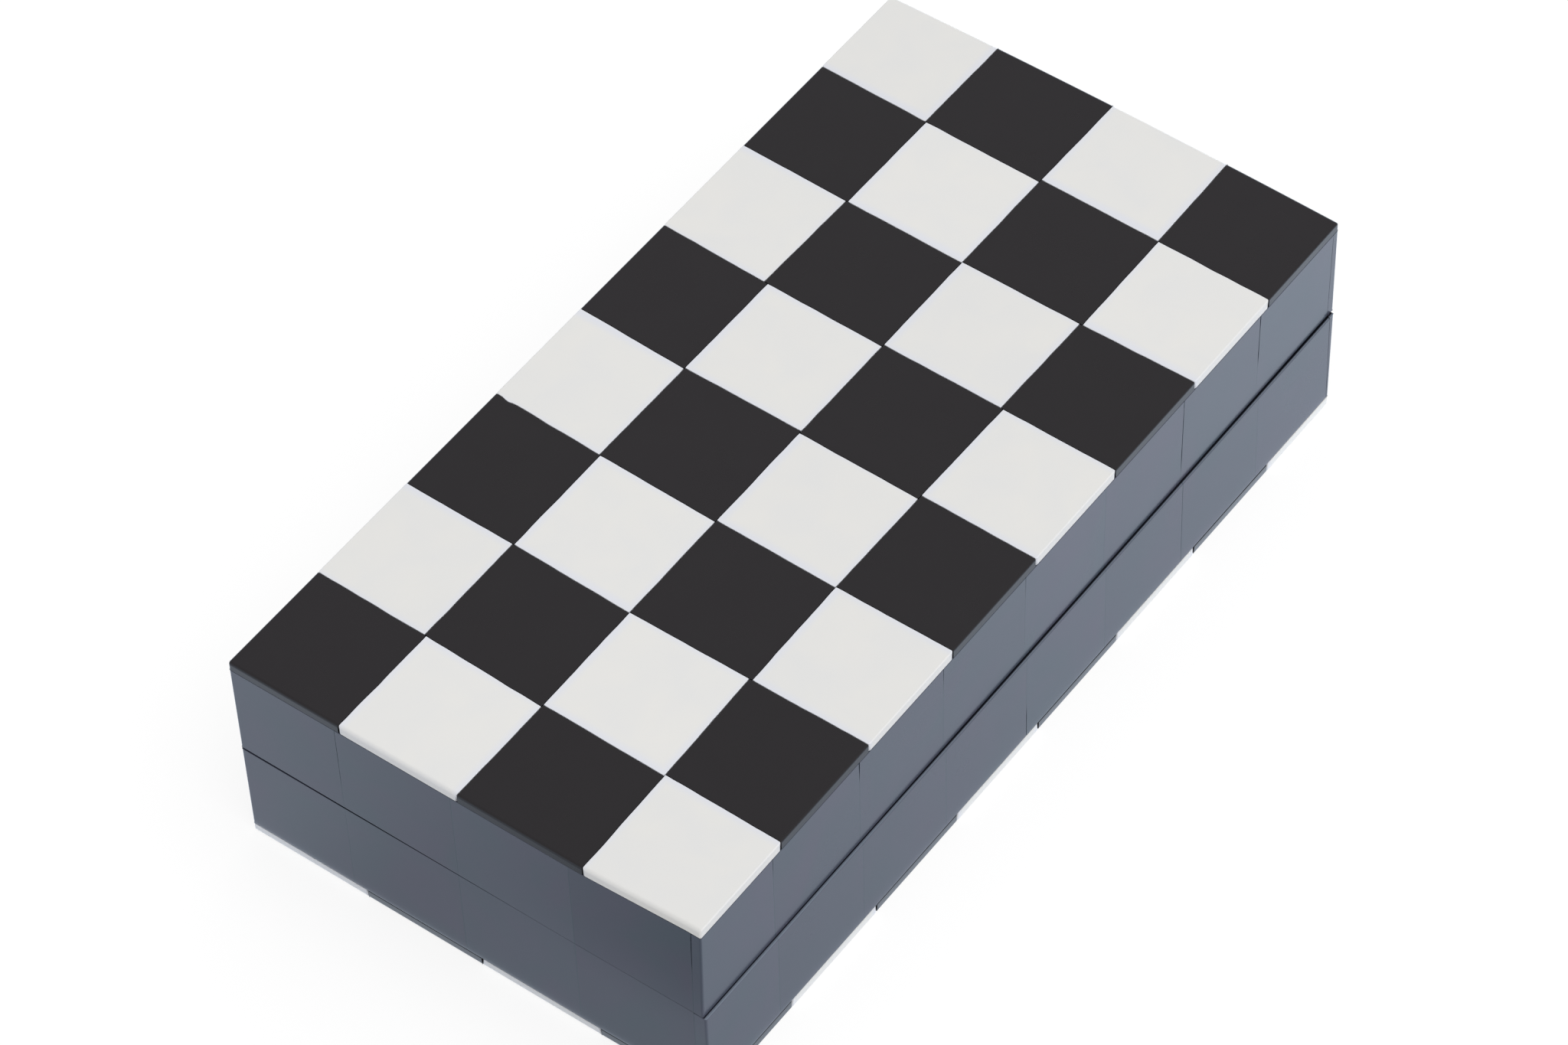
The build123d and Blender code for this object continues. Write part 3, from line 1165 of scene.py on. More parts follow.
@dataclass
class PlayingFace:
    """The thirty-two squares of one half.

    Attributes:
        wave: How far a seam waves off its line.
        wave_length: The length of such a wave.
        ripple_share: How far finer ripples go, as a share of the wave.
        ripple_pitch: How many times finer they are.
        seam_apart: How far apart the waves of two seams are drawn from.
        half_apart: Where those of the lower and of the upper half are drawn from.
        rows_from: The number that the seams between rows are counted from.
        cuts: How many points divide each side of a square.
        seam_radius: How far the squares are eased along their seams.
        widest: The widest of all their radii.
        case_corner: The radius of the case's upright corners.
    """

    sizes: CaseSizes
    half: Half
    drift: Drift
    nicks: tuple[Nick, ...] = ()
    square: Pair = (45.0, 46.5)
    first_seam: Pair = (-134.2, -46.2)
    wave: float = 0.16
    wave_length: float = 9.0
    ripple_share: float = 0.3
    ripple_pitch: float = 3.1
    seam_apart: float = 7.3
    half_apart: Pair = (4.0, 11.0)
    rows_from: int = 20
    cuts: int = 29
    seam_radius: float = 0.15
    widest: float = 1.35
    case_corner: float = 0.9

    def layout(self) -> TileLayout:
        """Where the squares' seams lie, for their finish."""
        return TileLayout((*self.first_seam, UNSEAMED[0]), (*self.square, UNSEAMED[1]))

    def seams(self, axis: int, low: float, high: float) -> list[float]:
        """Every seam along one axis, with both outer faces."""
        count = (COLUMNS, ROWS)[axis]
        return [low, *(self.first_seam[axis] + self.square[axis] * n for n in range(count - 1)), high]

    def strayed(self, number: int, along: float) -> float:
        """How far a seam waves off its line at a place along it.

        Args:
            number: The seam's own number, which tells its waves from those of the others.
            along: The place.

        Returns:
            The distance.
        """
        own = self.half_apart[self.half is Half.UPPER]
        point = Vector((along / self.wave_length, number * self.seam_apart, own))
        ripple = self.ripple_share * self.wave * noise.noise(point * self.ripple_pitch)
        return self.wave * noise.noise(point) + ripple

    def column_shift(self, seam: int, row: int, share: float, y: float) -> float:
        """The X shift of a seam between columns, or of one of the case's own ends.

        Args:
            seam: Which seam, from the left end.
            row: Which row of squares the place lies in.
            share: How far back in that row it lies.
            y: Its Y.

        Returns:
            The shift.
        """
        level = self.sizes.level(self.half, 0.0)
        if seam == 0:
            return self.sizes.left_end_in(y, level)
        if seam == COLUMNS:
            return self.sizes.right_end_out(y, level)
        drift = between(self.drift.columns[seam - 1][row], share)
        return drift + self.strayed(seam, y) + sum(nick.push(seam, y) for nick in self.nicks)

    def row_shift(self, seam: int, column: int, share: float, x: float) -> float:
        """The Y shift of a seam between rows, or of the case's own front or back.

        Args:
            seam: Which seam, from the front.
            column: Which column of squares the place lies in.
            share: How far to the right in that column it lies.
            x: Its X.

        Returns:
            The shift.
        """
        if seam == 0 and self.half is Half.LOWER:
            return -self.sizes.lower_front_out(x, 0.0)
        if seam in (0, ROWS):
            return 0.0
        return between(self.drift.rows[seam - 1][column], share) + self.strayed(seam + self.rows_from, x)

    def bender(self, i: int, j: int, slab: Slab) -> Bend:
        """What moves the points of one square so that its sides follow its four seams.

        Args:
            i: The square's column.
            j: Its row.
            slab: Its outline.

        Returns:
            A function that gives a point its new place.
        """

        def bend(point: Vector) -> Vector:
            """Move one point of the square.

            Args:
                point: Its place.

            Returns:
                Its new place.
            """
            across, up = slab.shares(point)
            ends = tuple(self.column_shift(s, j, up, point.y) for s in (i, i + 1))
            sides = tuple(self.row_shift(s, i, across, point.x) for s in (j, j + 1))
            return point + Vector((between(ends, across), between(sides, up), 0.0))

        return bend

    def slab(self, i: int, j: int, edges: OuterEdges) -> Slab:
        """The outline of one square and the radii of its edges.

        Args:
            i: The square's column.
            j: Its row.
            edges: How its colour is eased at the outside of the case.

        Returns:
            The slab.
        """
        seams_x = self.seams(0, self.sizes.left, self.sizes.right)
        seams_y = self.seams(1, self.sizes.front_of(self.half), self.sizes.back)
        outer = (i == 0, i == COLUMNS - 1, j == 0, j == ROWS - 1)
        inset = [0.0 if side else self.sizes.tile_joint / 2 for side in outer]
        eased = (edges.end, edges.end, edges.long, edges.long)
        by_outer_sides = (0.0, edges.depth, self.case_corner)
        return Slab(
            u=(seams_x[i] + inset[0], seams_x[i + 1] - inset[1]),
            v=(seams_y[j] + inset[2], seams_y[j + 1] - inset[3]),
            thickness=self.sizes.tile_thickness,
            face=tuple(radius if side else self.seam_radius for radius, side in zip(eased, outer)),
            depth=tuple(by_outer_sides[outer[a] + outer[2 + b]] for a, b in CORNERS),
            heel=tuple(self.seam_radius if side else 0.0 for side in outer),
        )

    def build(self, tone: Tone, material: bpy.types.Material) -> bpy.types.Object:
        """Make one colour's squares.

        Args:
            tone: Which colour.
            material: What they are made of.

        Returns:
            The finished piece.
        """
        flip = Matrix.Diagonal((1, 1, -self.half.out, 1))
        place = Matrix.Translation((0.0, 0.0, self.sizes.level(self.half, 0.0))) @ flip
        even = (self.half is Half.UPPER) == (tone is Tone.WHITE)
        bm = bmesh.new()
        for i in range(COLUMNS):
            for j in range(ROWS):
                if ((i + j) % 2 == 0) == even:
                    slab = self.slab(i, j, OUTER_EDGES[tone])
                    add_slab(bm, slab, place, self.cuts, self.bender(i, j, slab), self.widest)
        piece = finish_mesh(f"{self.half.value}_{tone.value}_squares", bm, material)
        ease(piece, self.widest, 4, weighted=True)
        return mount(piece, self.half, f"{self.half.value}_{tone.value}_tiles")


@dataclass
class SideTiles:
    """One side's row of plain tiles on one half. Each row laps the end of the next one round the case.

    Attributes:
        gaps: For each seam from the butted end, how high it gapes above the playing face, and how wide.
        closed: How wide a seam is where it is closed.
        unseen_reach: The middle and the spread of how high the other seams gape.
        unseen_width: How wide they gape.
        gap_fade: Over which height a gaping seam closes.
        gap_level: How far a seam opens on the average, and how much more or less.
        gap_wave: The height over which that changes.
        seam_apart: How far apart the unevenness of two seams is drawn from.
        side_apart: How far apart that of two sides is.
        half_apart: Where that of the lower and of the upper half is drawn from.
        near_run: The X between which a long side's rims come closer towards the left end.
        near_rise: How much they do, on the lower and on the upper half.
        upper_run: The X between which the upper front rim drops.
        upper_rise: How far it does.
        end_run: The Y between which an end's rims come apart.
        end_rise: How far each stands into the gap at either of them.
    """

    sizes: CaseSizes
    half: Half
    side: Side
    gaps: tuple[Pair, ...] = ()
    long_tile: float = 44.7
    first_long_tile: float = 43.6
    end_tile: float = 45.1
    seam_radius: float = 0.02
    layer_radius: float = 0.22
    rim_radius: float = 0.12
    ledge_radius: float = 0.45
    case_corner: float = 0.8
    cuts: int = 15
    closed: float = 0.01
    unseen_reach: Pair = (6.0, 26.0)
    unseen_width: float = 0.3
    gap_fade: float = 6.0
    gap_level: Pair = (0.8, 0.5)
    gap_wave: float = 5.0
    seam_apart: float = 3.7
    side_apart: float = 2.3
    half_apart: Pair = (0.0, 9.0)
    near_run: Pair = (-40.0, -150.0)
    near_rise: Pair = (0.14, 0.04)
    upper_run: Pair = (150.0, 90.0)
    upper_rise: float = 0.3
    end_run: Pair = (-25.0, 75.0)
    end_rise: Pair = (0.28, -0.17)

    def run(self) -> Four:
        """Where the row starts butted and ends flush, its tile length and its first tile's length.

        Returns:
            The four values.
        """
        s = self.sizes
        t = s.side_tile_thickness
        return {
            Side.FRONT: (s.right - t, s.left, self.long_tile, self.first_long_tile),
            Side.BACK: (s.left + t, s.right, self.long_tile, self.first_long_tile),
            Side.LEFT: (s.front + t, s.back, self.end_tile, self.end_tile),
            Side.RIGHT: (s.back - t, s.front_of(self.half), self.end_tile, self.end_tile),
        }[self.side]

    def way(self) -> int:
        """Whether the row runs up or down its axis, from its butted end."""
        start, end, _, _ = self.run()
        return 1 if end > start else -1

    def limits(self) -> list[Pair]:
        """Each tile's two ends, from the butted end of the row to its flush end.

        Returns:
            The lower and the upper end of each.
        """
        start, end, length, first = self.run()
        seams = [start, start + self.way() * first]
        while abs(end - seams[-1]) > length:
            seams.append(seams[-1] + self.way() * length)
        joint = self.way() * self.sizes.tile_joint / 2
        begins = [seam + joint for seam in seams]
        ends = [seam - joint for seam in seams[1:]] + [end]
        return [tuple(sorted(pair)) for pair in zip(begins, ends)]

    def layout(self) -> TileLayout:
        """Where the row's seams lie, for its finish.

        Returns:
            The layout.
        """
        start, _, length, first = self.run()
        seam = start + self.way() * first
        none, endless = UNSEAMED
        if self.side.along_x:
            return TileLayout((seam, none, none), (length, endless, endless))
        return TileLayout((none, seam, none), (endless, length, endless))

    def place(self) -> Matrix:
        """Turns a tile's u, v and w into the row frame: u along the side, v up and w outwards.

        Returns:
            The matrix, in millimetres.
        """
        s = self.sizes
        x, y, z = Vector((1, 0, 0)), Vector((0, 1, 0)), Vector((0, 0, 1))
        along, out, at = {
            Side.FRONT: (x, -y, y * s.front_of(self.half)),
            Side.BACK: (x, y, y * s.back),
            Side.LEFT: (y, -x, x * s.left),
            Side.RIGHT: (y, x, x * s.right),
        }[self.side]
        return Matrix.Translation(at) @ Matrix((along, z, out)).transposed().to_4x4()

    def build(self, material: bpy.types.Material) -> bpy.types.Object:
        """Make the row.

        Args:
            material: What it is made of.

        Returns:
            The finished piece.
        """
        s = self.sizes
        node = f"{self.half.value}_{self.side.value}_cladding"
        name = f"{self.half.value}_{self.side.value}_tiles"
        if self.side is Side.BACK:
            piece = eased_copy(name, node, material, self.seam_radius)
            return mount(piece, self.half, node)
        levels = sorted(s.level(self.half, h) for h in (s.tile_thickness + s.tile_joint, s.half_height))
        flush_end = self.run()[1]
        thickness, rim_radius = s.side_tile_thickness, self.rim_radius
        if self.side is Side.FRONT and self.half is Half.LOWER:
            thickness += s.front - s.lower_front
            rim_radius = self.ledge_radius
        up = (self.layer_radius, rim_radius) if self.half is Half.LOWER else (rim_radius, self.layer_radius)
        bm = bmesh.new()
        for number, limits in enumerate(self.limits()):
            flush = tuple(abs(limit - flush_end) < TOUCHING for limit in limits)
            along = tuple(self.case_corner if end else self.seam_radius for end in flush)
            depth = tuple(min(along[a], up[b]) for a, b in CORNERS)
            heel = (*(self.seam_radius if end else 0.0 for end in flush), 0.0, 0.0)
            slab = Slab(limits, tuple(levels), thickness, (*along, *up), depth, heel)
            add_slab(bm, slab, self.place(), self.cuts, self.bender(slab, number, flush), self.case_corner)
        piece = finish_mesh(name, bm, material)
        ease(piece, self.case_corner, 4, weighted=True)
        return mount(piece, self.half, node)

    def opening(self, seam: int, height: float) -> float:
        """How wide a hairline seam gapes.

        Args:
            seam: Which seam, from the butted end of the row.
            height: How far above the half's own playing face.

        Returns:
            The width.
        """
        own_half = self.half_apart[self.half is Half.UPPER]
        own = Vector((seam * self.seam_apart, len(self.side.value) * self.side_apart, own_half))
        middle, spread = self.unseen_reach
        unseen = (middle + spread * noise.noise(own), self.unseen_width)
        reach, width = self.gaps[seam] if seam < len(self.gaps) else unseen
        fading = ramp((reach - height) / self.gap_fade, -0.5, 0.5)
        level, change = self.gap_level
        uneven = level + change * noise.noise(own + Vector((0.0, 0.0, height / self.gap_wave)))
        return between((self.closed, width), ramp(fading * uneven, 0.0, 1.0))

    def rim_rise(self, along: float) -> float:
        """How far a rim stands into the parting gap, which closes towards the front of the case.

        Args:
            along: The place along the side.

        Returns:
            The distance.
        """
        if not self.side.along_x:
            return between(self.end_rise, ramp(along, *self.end_run))
        near = ramp(along, *self.near_run)
        if self.half is Half.LOWER:
            return self.near_rise[0] * near
        return self.upper_rise * ramp(along, *self.upper_run) + self.near_rise[1] * near

    def lean(self, side: Side, along: float, z: float) -> float:
        """How far a side stands out from its CAD plane.

        Args:
            side: Which side.
            along: The place along it.
            z: How high on it.

        Returns:
            The distance, which is less than nought where it stands in.
        """
        if side is Side.LEFT:
            return -self.sizes.left_end_in(along, z)
        if side is Side.RIGHT:
            return self.sizes.right_end_out(along, z)
        if side is Side.FRONT and self.half is Half.LOWER:
            return self.sizes.lower_front_out(along, z)
        return 0.0

    def bender(self, slab: Slab, number: int, flush: tuple[bool, bool]) -> Bend:
        """What draws a tile's ends towards its neighbours where the hairline seams close, and lifts its rim.

        Args:
            slab: The tile's outline.
            number: Which tile, from the butted end of the row.
            flush: Whether its lower and its upper end lie flush with the next side's face.

        Returns:
            A function that gives a point its new place.
        """
        s = self.sizes
        ends = (number, number + 1)[:: self.way()]
        lapped = (Side.LEFT, s.front) if self.side is Side.FRONT else (Side.FRONT, s.right)

        def bend(point: Vector) -> Vector:
            """Move one point of the tile.

            Args:
                point: Its place.

            Returns:
                Its new place.
            """
            across, up = slab.shares(point)
            height = s.level(self.half, point.y)
            near, far = ((s.tile_joint - self.opening(seam, height)) / 2 for seam in ends)
            low = -self.lean(*lapped, point.y) if flush[0] else -near
            high = 0.0 if flush[1] else far
            rise = self.rim_rise(point.x) * (up if self.half is Half.LOWER else up - 1.0)
            out = self.lean(self.side, point.x, point.y) * (1.0 + point.z / slab.thickness)
            return point + Vector((between((low, high), across), rise, out))

        return bend


@dataclass
class Tray:
    """The wooden core of one half: four rebated walls round a deck panel."""

    half: Half
    edge: float = 0.35

    def build(self, materials: dict[Grain, bpy.types.Material]) -> list[bpy.types.Object]:
        """Make the walls and give the hidden deck panel its finish.

        Args:
            materials: The wood with its grain each way.

        Returns:
            The four walls.
        """
        walls = []
        for side in Side:
            node = f"{self.half.value}_{side.value}_wall"
            grain = Grain.ALONG if side.along_x else Grain.ACROSS
            piece = eased_copy(f"{self.half.value}_{side.value}_rail", node, materials[grain], self.edge)
            walls.append(mount(piece, self.half, node))
        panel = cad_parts[f"{self.half.value}_deck_panel"]
        panel.material_slots[0].material = materials[Grain.ALONG]
        log.info("%s keeps its CAD shape in %s", panel.name, panel.material_slots[0].material.name)
        return walls


@dataclass
class FeltLining:
    """The five felt sheets glued into one tray.

    Attributes:
        step: The pitch of the points in a sheet's face.
        nap: How deep its face is uneven.
        nap_length: Over which length.
        edge: How far its cut edges are eased.
    """

    sizes: CaseSizes
    half: Half
    step: float = 3.5
    nap: float = 0.16
    nap_length: float = 7.0
    edge: float = 0.35

    def sheet(self, name: str, size: Pair, place: Matrix, material: bpy.types.Material) -> bpy.types.Object:
        """Make one sheet, its face a little uneven from the glue under it.

        Args:
            name: The part of the name after the half's.
            size: Its width and length, in millimetres.
            place: Turns its own plane, with its face up, into the row frame, in millimetres.
            material: What it is made of.

        Returns:
            The finished piece.
        """
        bm = bmesh.new()
        segments = [max(2, round(side / self.step)) for side in size]
        scale = Matrix.Diagonal((*size, 1.0, 1.0))
        bmesh.ops.create_grid(bm, x_segments=segments[0], y_segments=segments[1], size=0.5, matrix=scale)
        grown = bmesh.ops.extrude_face_region(bm, geom=bm.faces[:])["geom"]
        rear = {g for g in grown if isinstance(g, bmesh.types.BMVert)}
        bmesh.ops.translate(bm, vec=(0.0, 0.0, -self.sizes.felt_thickness), verts=list(rear))
        for vert in bm.verts:
            inside = min(size[0] / 2 - abs(vert.co.x), size[1] / 2 - abs(vert.co.y)) > TOUCHING
            if inside and vert not in rear:
                dip = 0.5 + 0.5 * noise.noise(vert.co / self.nap_length)
                vert.co.z -= self.nap * dip
        bmesh.ops.transform(bm, matrix=Matrix.Scale(MM, 4) @ place, verts=bm.verts)
        node = f"{self.half.value}_{name}_felt"
        piece = finish_mesh(f"{node}_sheet", bm, material)
        ease(piece, self.edge, 2, weighted=False)
        return mount(piece, self.half, node)

    def floor_sheet(self, material: bpy.types.Material) -> bpy.types.Object:
        """Lay the sheet on the deck panel.

        Args:
            material: What it is made of.

        Returns:
            The finished piece.
        """
        s = self.sizes
        flat = (s.inner_length, s.inner_width)
        top = s.level(self.half, s.tile_thickness + s.deck_thickness + s.felt_thickness)
        place = Matrix.Translation((0.0, 0.0, top)) @ Matrix.Diagonal((1.0, 1.0, self.half.out, 1.0))
        piece = self.sheet("floor", flat, place, material)
        return piece

    def wall_sheet(self, side: Side, material: bpy.types.Material) -> bpy.types.Object:
        """Stretch one sheet on the inside of a wall.

        Args:
            side: Which wall.
            material: What it is made of.

        Returns:
            The finished piece.
        """
        s = self.sizes
        low = s.level(self.half, s.tile_thickness + s.deck_thickness + s.felt_thickness)
        high = s.level(self.half, s.half_height - s.felt_below_rim)
        if side.along_x:
            run, reach, inwards = s.inner_length, s.inner_width / 2, Vector((0.0, 1.0, 0.0))
        else:
            run, reach = s.inner_width - 2 * s.felt_thickness, s.inner_length / 2
            inwards = Vector((1.0, 0.0, 0.0))
        if side in (Side.BACK, Side.RIGHT):
            inwards = -inwards
        up = Vector((0.0, 0.0, 1.0))
        turned = Matrix((up.cross(inwards), up, inwards)).transposed().to_4x4()
        at = inwards * (s.felt_thickness - reach) + up * (low + high) / 2
        flat = (run, abs(high - low))
        piece = self.sheet(side.value, flat, Matrix.Translation(at) @ turned, material)
        return piece

    def build(self, material: bpy.types.Material) -> list[bpy.types.Object]:
        """Line the tray with its five sheets."""
        return [self.floor_sheet(material), *(self.wall_sheet(side, material) for side in Side)]


@dataclass
class HingeSet:
    """Both butt hinges: their leaves, pins and countersunk screws.

    Attributes:
        middles: The X of the middle of each hinge.
        screw_spread: How far each screw stands from it.
        tip_radius: The radius of a screw's blunt tip.
        point_length: How long its point is.
        point_taper: The shank's radius where the point starts, as a share of the whole.
        head_edge: How far under its face the head is widest, and how much narrower it gets below that.
        head_flat: How far under its face its cone starts, and how far in from its rim its face does.
        slot_layer: How close to the head's face those faces lie that the slot is sunk from.
        around: How many facets go round a screw.
        weld: How close the blank's points are merged.
        snap: How close to the slot's sides a point counts as on them.
        shaded_sharp: The angle from which a screw's edges are shaded sharp.
    """

    sizes: CaseSizes
    middles: Pair = (-101.5, 101.5)
    screw_spread: float = 12.0
    screw_y: float = 83.55
    head_radius: float = 2.2
    shank_radius: float = 1.0
    screw_length: float = 12.0
    tip_radius: float = 0.3
    point_length: float = 1.6
    point_taper: float = 0.9
    head_edge: float = 0.05
    head_flat: float = 0.12
    slot_width: float = 0.7
    slot_depth: float = 0.6
    slot_layer: float = 0.04
    leaf_edge: float = 0.18
    pin_edge: float = 0.3
    around: int = 32
    weld: float = 0.0001
    snap: float = 1e-5
    shaded_sharp: float = math.radians(35)

    def leaf(self, half: Half, end: Side, material: bpy.types.Material) -> bpy.types.Object:
        """One leaf with its own knuckles, its edges eased.

        Args:
            half: The half that it is screwed to.
            end: Which hinge, the left or the right one.
            material: What it is made of.

        Returns:
            The finished piece.
        """
        node = f"{half.value}_{end.value}_hinge_leaf"
        piece = eased_copy(f"{half.value}_{end.value}_butt_leaf", node, material, self.leaf_edge)
        return mount(piece, half, node)

    def pin(self, end: Side, material: bpy.types.Material) -> bpy.types.Object:
        """One pin, its ends eased. It is held in the lower half's knuckles."""
        piece = eased_copy(f"{end.value}_butt_pin", f"{end.value}_hinge_pin", material, self.pin_edge)
        return mount(piece, Half.LOWER, f"{end.value}_hinge_pin")

    def blank(self) -> bmesh.types.BMesh:
        """Turn a countersunk screw, its head's face at nought.

        Returns:
            The screw, in millimetres.
        """
        head, shank, length = self.head_radius, self.shank_radius, self.screw_length
        point = (shank * self.point_taper, self.point_length - length)
        line = [(0.0, -length), (self.tip_radius, -length), point, (shank, shank - head)]
        line += [(head - self.head_edge, -self.head_flat), (head, -self.head_edge)]
        line += [(head - self.head_flat, 0.0), (0.0, 0.0)]
        single = bmesh.new()
        points = [single.verts.new((r, 0.0, z)) for r, z in line]
        edges = [single.edges.new(pair) for pair in zip(points, points[1:])]
        bmesh.ops.spin(
            single,
            geom=points + edges,
            cent=(0.0, 0.0, 0.0),
            axis=(0.0, 0.0, 1.0),
            angle=math.tau,
            steps=self.around,
            use_merge=True,
        )
        bmesh.ops.remove_doubles(single, verts=single.verts, dist=self.weld)
        return single

    def mill_slot(self, single: bmesh.types.BMesh) -> None:
        """Sink the slot across a screw's head.

        Args:
            single: The screw.
        """
        for way in (-1.0, 1.0):
            near = [f for f in single.faces if f.calc_center_median().z > -self.slot_depth]
            edges = {e for f in near for e in f.edges}
            points = {v for f in near for v in f.verts}
            bmesh.ops.bisect_plane(
                single,
                geom=[*points, *edges, *near],
                dist=self.snap,
                plane_co=(0.0, way * self.slot_width / 2, 0.0),
                plane_no=(0.0, 1.0, 0.0),
            )
        strip = []
        for face in single.faces:
            middle = face.calc_center_median()
            if middle.z > -self.slot_layer and abs(middle.y) < self.slot_width / 2:
                strip.append(face)
        grown = bmesh.ops.extrude_face_region(single, geom=strip)["geom"]
        sunk = [g for g in grown if isinstance(g, bmesh.types.BMVert)]
        bmesh.ops.translate(single, vec=(0.0, 0.0, -self.slot_depth), verts=sunk)

    def screws(self, half: Half, material: bpy.types.Material) -> bpy.types.Object:
        """The screws of one half, their slots turned as the screwdriver left them.

        Args:
            half: The half that they are driven into.
            material: What they are made of.

        Returns:
            The finished piece.
        """
        chance = random.Random(12 if half is Half.LOWER else 31)
        flip = Matrix.Diagonal((1.0, 1.0, half.out, 1.0))
        level = self.sizes.level(half, self.sizes.half_height)
        bm = bmesh.new()
        for middle in self.middles:
            for way in (-1, 1):
                single = self.blank()
                self.mill_slot(single)
                turn = Matrix.Rotation(chance.uniform(0, math.pi), 3, "Z")
                bmesh.ops.rotate(single, verts=single.verts, matrix=turn)
                at = (middle + way * self.screw_spread, self.screw_y, level)
                place = Matrix.Scale(MM, 4) @ Matrix.Translation(at) @ flip
                bmesh.ops.transform(single, matrix=place, verts=single.verts)
                pour(single, bm)
        piece = finish_mesh(f"{half.value}_slotted_screws", bm, material)
        sharp = piece.modifiers.new("sharp edges", "EDGE_SPLIT")
        sharp.split_angle = self.shaded_sharp
        return mount(piece, half, f"{half.value}_hinge_screws")


@dataclass
class Closure:
    """The disc magnets in the front rim of one half."""

    half: Half
    edge: float = 0.25

    def build(self, material: bpy.types.Material) -> bpy.types.Object:
        """Make the two discs.

        Args:
            material: What they are made of.

        Returns:
            The finished piece.
        """
        node = f"{self.half.value}_magnets"
        piece = eased_copy(f"{self.half.value}_disc_magnets", node, material, self.edge)
        return mount(piece, self.half, node)


@dataclass
class Studio:
    """A pale floor, soft light and a camera where the photograph's stood. Its lengths are metres.

    The polished sides mirror the floor, whose brightness in them gives them their shades. The Fades hold
    that brightness, along runs of the floor in millimetres.

    Attributes:
        shift: How far the picture is moved off the lens's axis.
        floor_shown: How far the camera sees the floor as plain white, with its shadows on the rest.
        world_lean: How much the light from all round grows towards the right, the back and the top.
        horizon: How high the mirrored surroundings change from their low tint to their high one.
        along_front: The floor's brightness before the front, from left to right.
        before_front: What is added to it closer to the front.
        under_foot: What is added under the foot of the front, by the distance from it.
        by_end: Its brightness close to the left end, from front to back.
        off_end: The same further off.
        leaving_end: Where the first goes over into the second.
        under_heel: What is added under the foot of the left end, by the distance from it.
        round_corner: Where the left end's floor goes over into the front's.
    """

    camera_at: Triple = (-0.96243, -0.7282, 1.49709)
    forward: Triple = (0.507388, 0.388041, -0.769408)
    right: Triple = (0.589784, -0.807354, -0.01825)
    lens: float = 133.64
    sensor: float = 36.0
    shift: Pair = (-0.000244, 0.000244)
    seen_between: Pair = (0.05, 50.0)
    floor_size: float = 8.0
    floor_below: float = 0.0002
    floor_albedo: float = 0.78
    floor_glow: float = 1.13
    floor_shown: float = 0.72
    key_at: Triple = (-0.25, -0.9, 2.7)
    key_size: float = 2.0
    key_power: float = 23.6
    world_level: float = 0.78
    world_lean: Triple = (0.22, -0.34, 0.0)
    mirrored_low: Colour = (0.82, 0.92, 1.06, 1.0)
    mirrored_high: Colour = (0.58, 0.57, 0.58, 1.0)
    horizon: Pair = (0.0, 0.55)
    along_front: Fade = Fade((-180.0, 250.0), (0.74, 1.24), Course.EVEN)
    before_front: Fade = Fade((-140.0, -90.0), (0.03, -0.05), Course.EVEN)
    under_foot: Fade = Fade((1.6, 2.1), (0.8, 0.0))
    by_end: Fade = Fade((30.0, 100.0), (0.71, 0.97))
    off_end: Fade = Fade((-60.0, 130.0), (0.42, 1.05), Course.EVEN)
    leaving_end: Fade = Fade((-215.0, -190.0), (1.0, 0.0))
    under_heel: Fade = Fade((2.1, 2.7), (1.0, 0.0))
    round_corner: Fade = Fade((-176.8, -176.2), (0.0, 1.0))

    def camera(self) -> bpy.types.Object:
        """Place the camera.

        Returns:
            The camera.
        """
        data = bpy.data.cameras.new("camera")
        data.sensor_width = self.sensor
        data.sensor_fit = "HORIZONTAL"
        data.lens = self.lens
        data.shift_x, data.shift_y = self.shift
        data.clip_start, data.clip_end = self.seen_between
        back = -Vector(self.forward).normalized()
        right = Vector(self.right).normalized()
        turned = Matrix((right, back.cross(right), back)).transposed().to_4x4()
        made = new_object("camera", data)
        made.matrix_world = Matrix.Translation(self.camera_at) @ turned
        bpy.context.scene.camera = made
        return made

    def seen(self, g: Graph) -> tuple[Socket, Socket]:
        """Whether a ray comes from the camera, and whether it comes off gloss or through glass.

        Args:
            g: The graph of the floor or of the world.

        Returns:
            One or nought for each.
        """
        path = g.node("ShaderNodeLightPath").outputs
        mirrored = g.math("MAXIMUM", path["Is Glossy Ray"], path["Is Transmission Ray"])
        return path["Is Camera Ray"], mirrored

    def world(self) -> None:
        """Light the scene evenly from all round, and show white where the camera looks past the floor."""
        world = bpy.data.worlds.new("studio")
        bpy.context.scene.world = world
        world.use_nodes = True
        g = Graph(world.node_tree)
        camera, mirrored = self.seen(g)
        direction = g.node("ShaderNodeTexCoord").outputs["Generated"]
        up = g.remap(g.parts(direction)[2], self.horizon, (0.0, 1.0))
        tint = g.mix(up, self.mirrored_low, self.mirrored_high)
        lean = g.node("ShaderNodeVectorMath", {0: direction, 1: self.world_lean}, operation="DOT_PRODUCT")
        even = g.add(lean.outputs["Value"], self.world_level)
        light = g.node("ShaderNodeBackground", {"Color": WHITE, "Strength": even})
        gloss = g.node("ShaderNodeBackground", {"Color": tint, "Strength": 1.0})
        white = g.node("ShaderNodeBackground", {"Color": WHITE, "Strength": 1.0})
        shown = g.mix_shaders(camera, g.mix_shaders(mirrored, light, gloss), white)
        g.node("ShaderNodeOutputWorld", {"Surface": shown.outputs[0]})

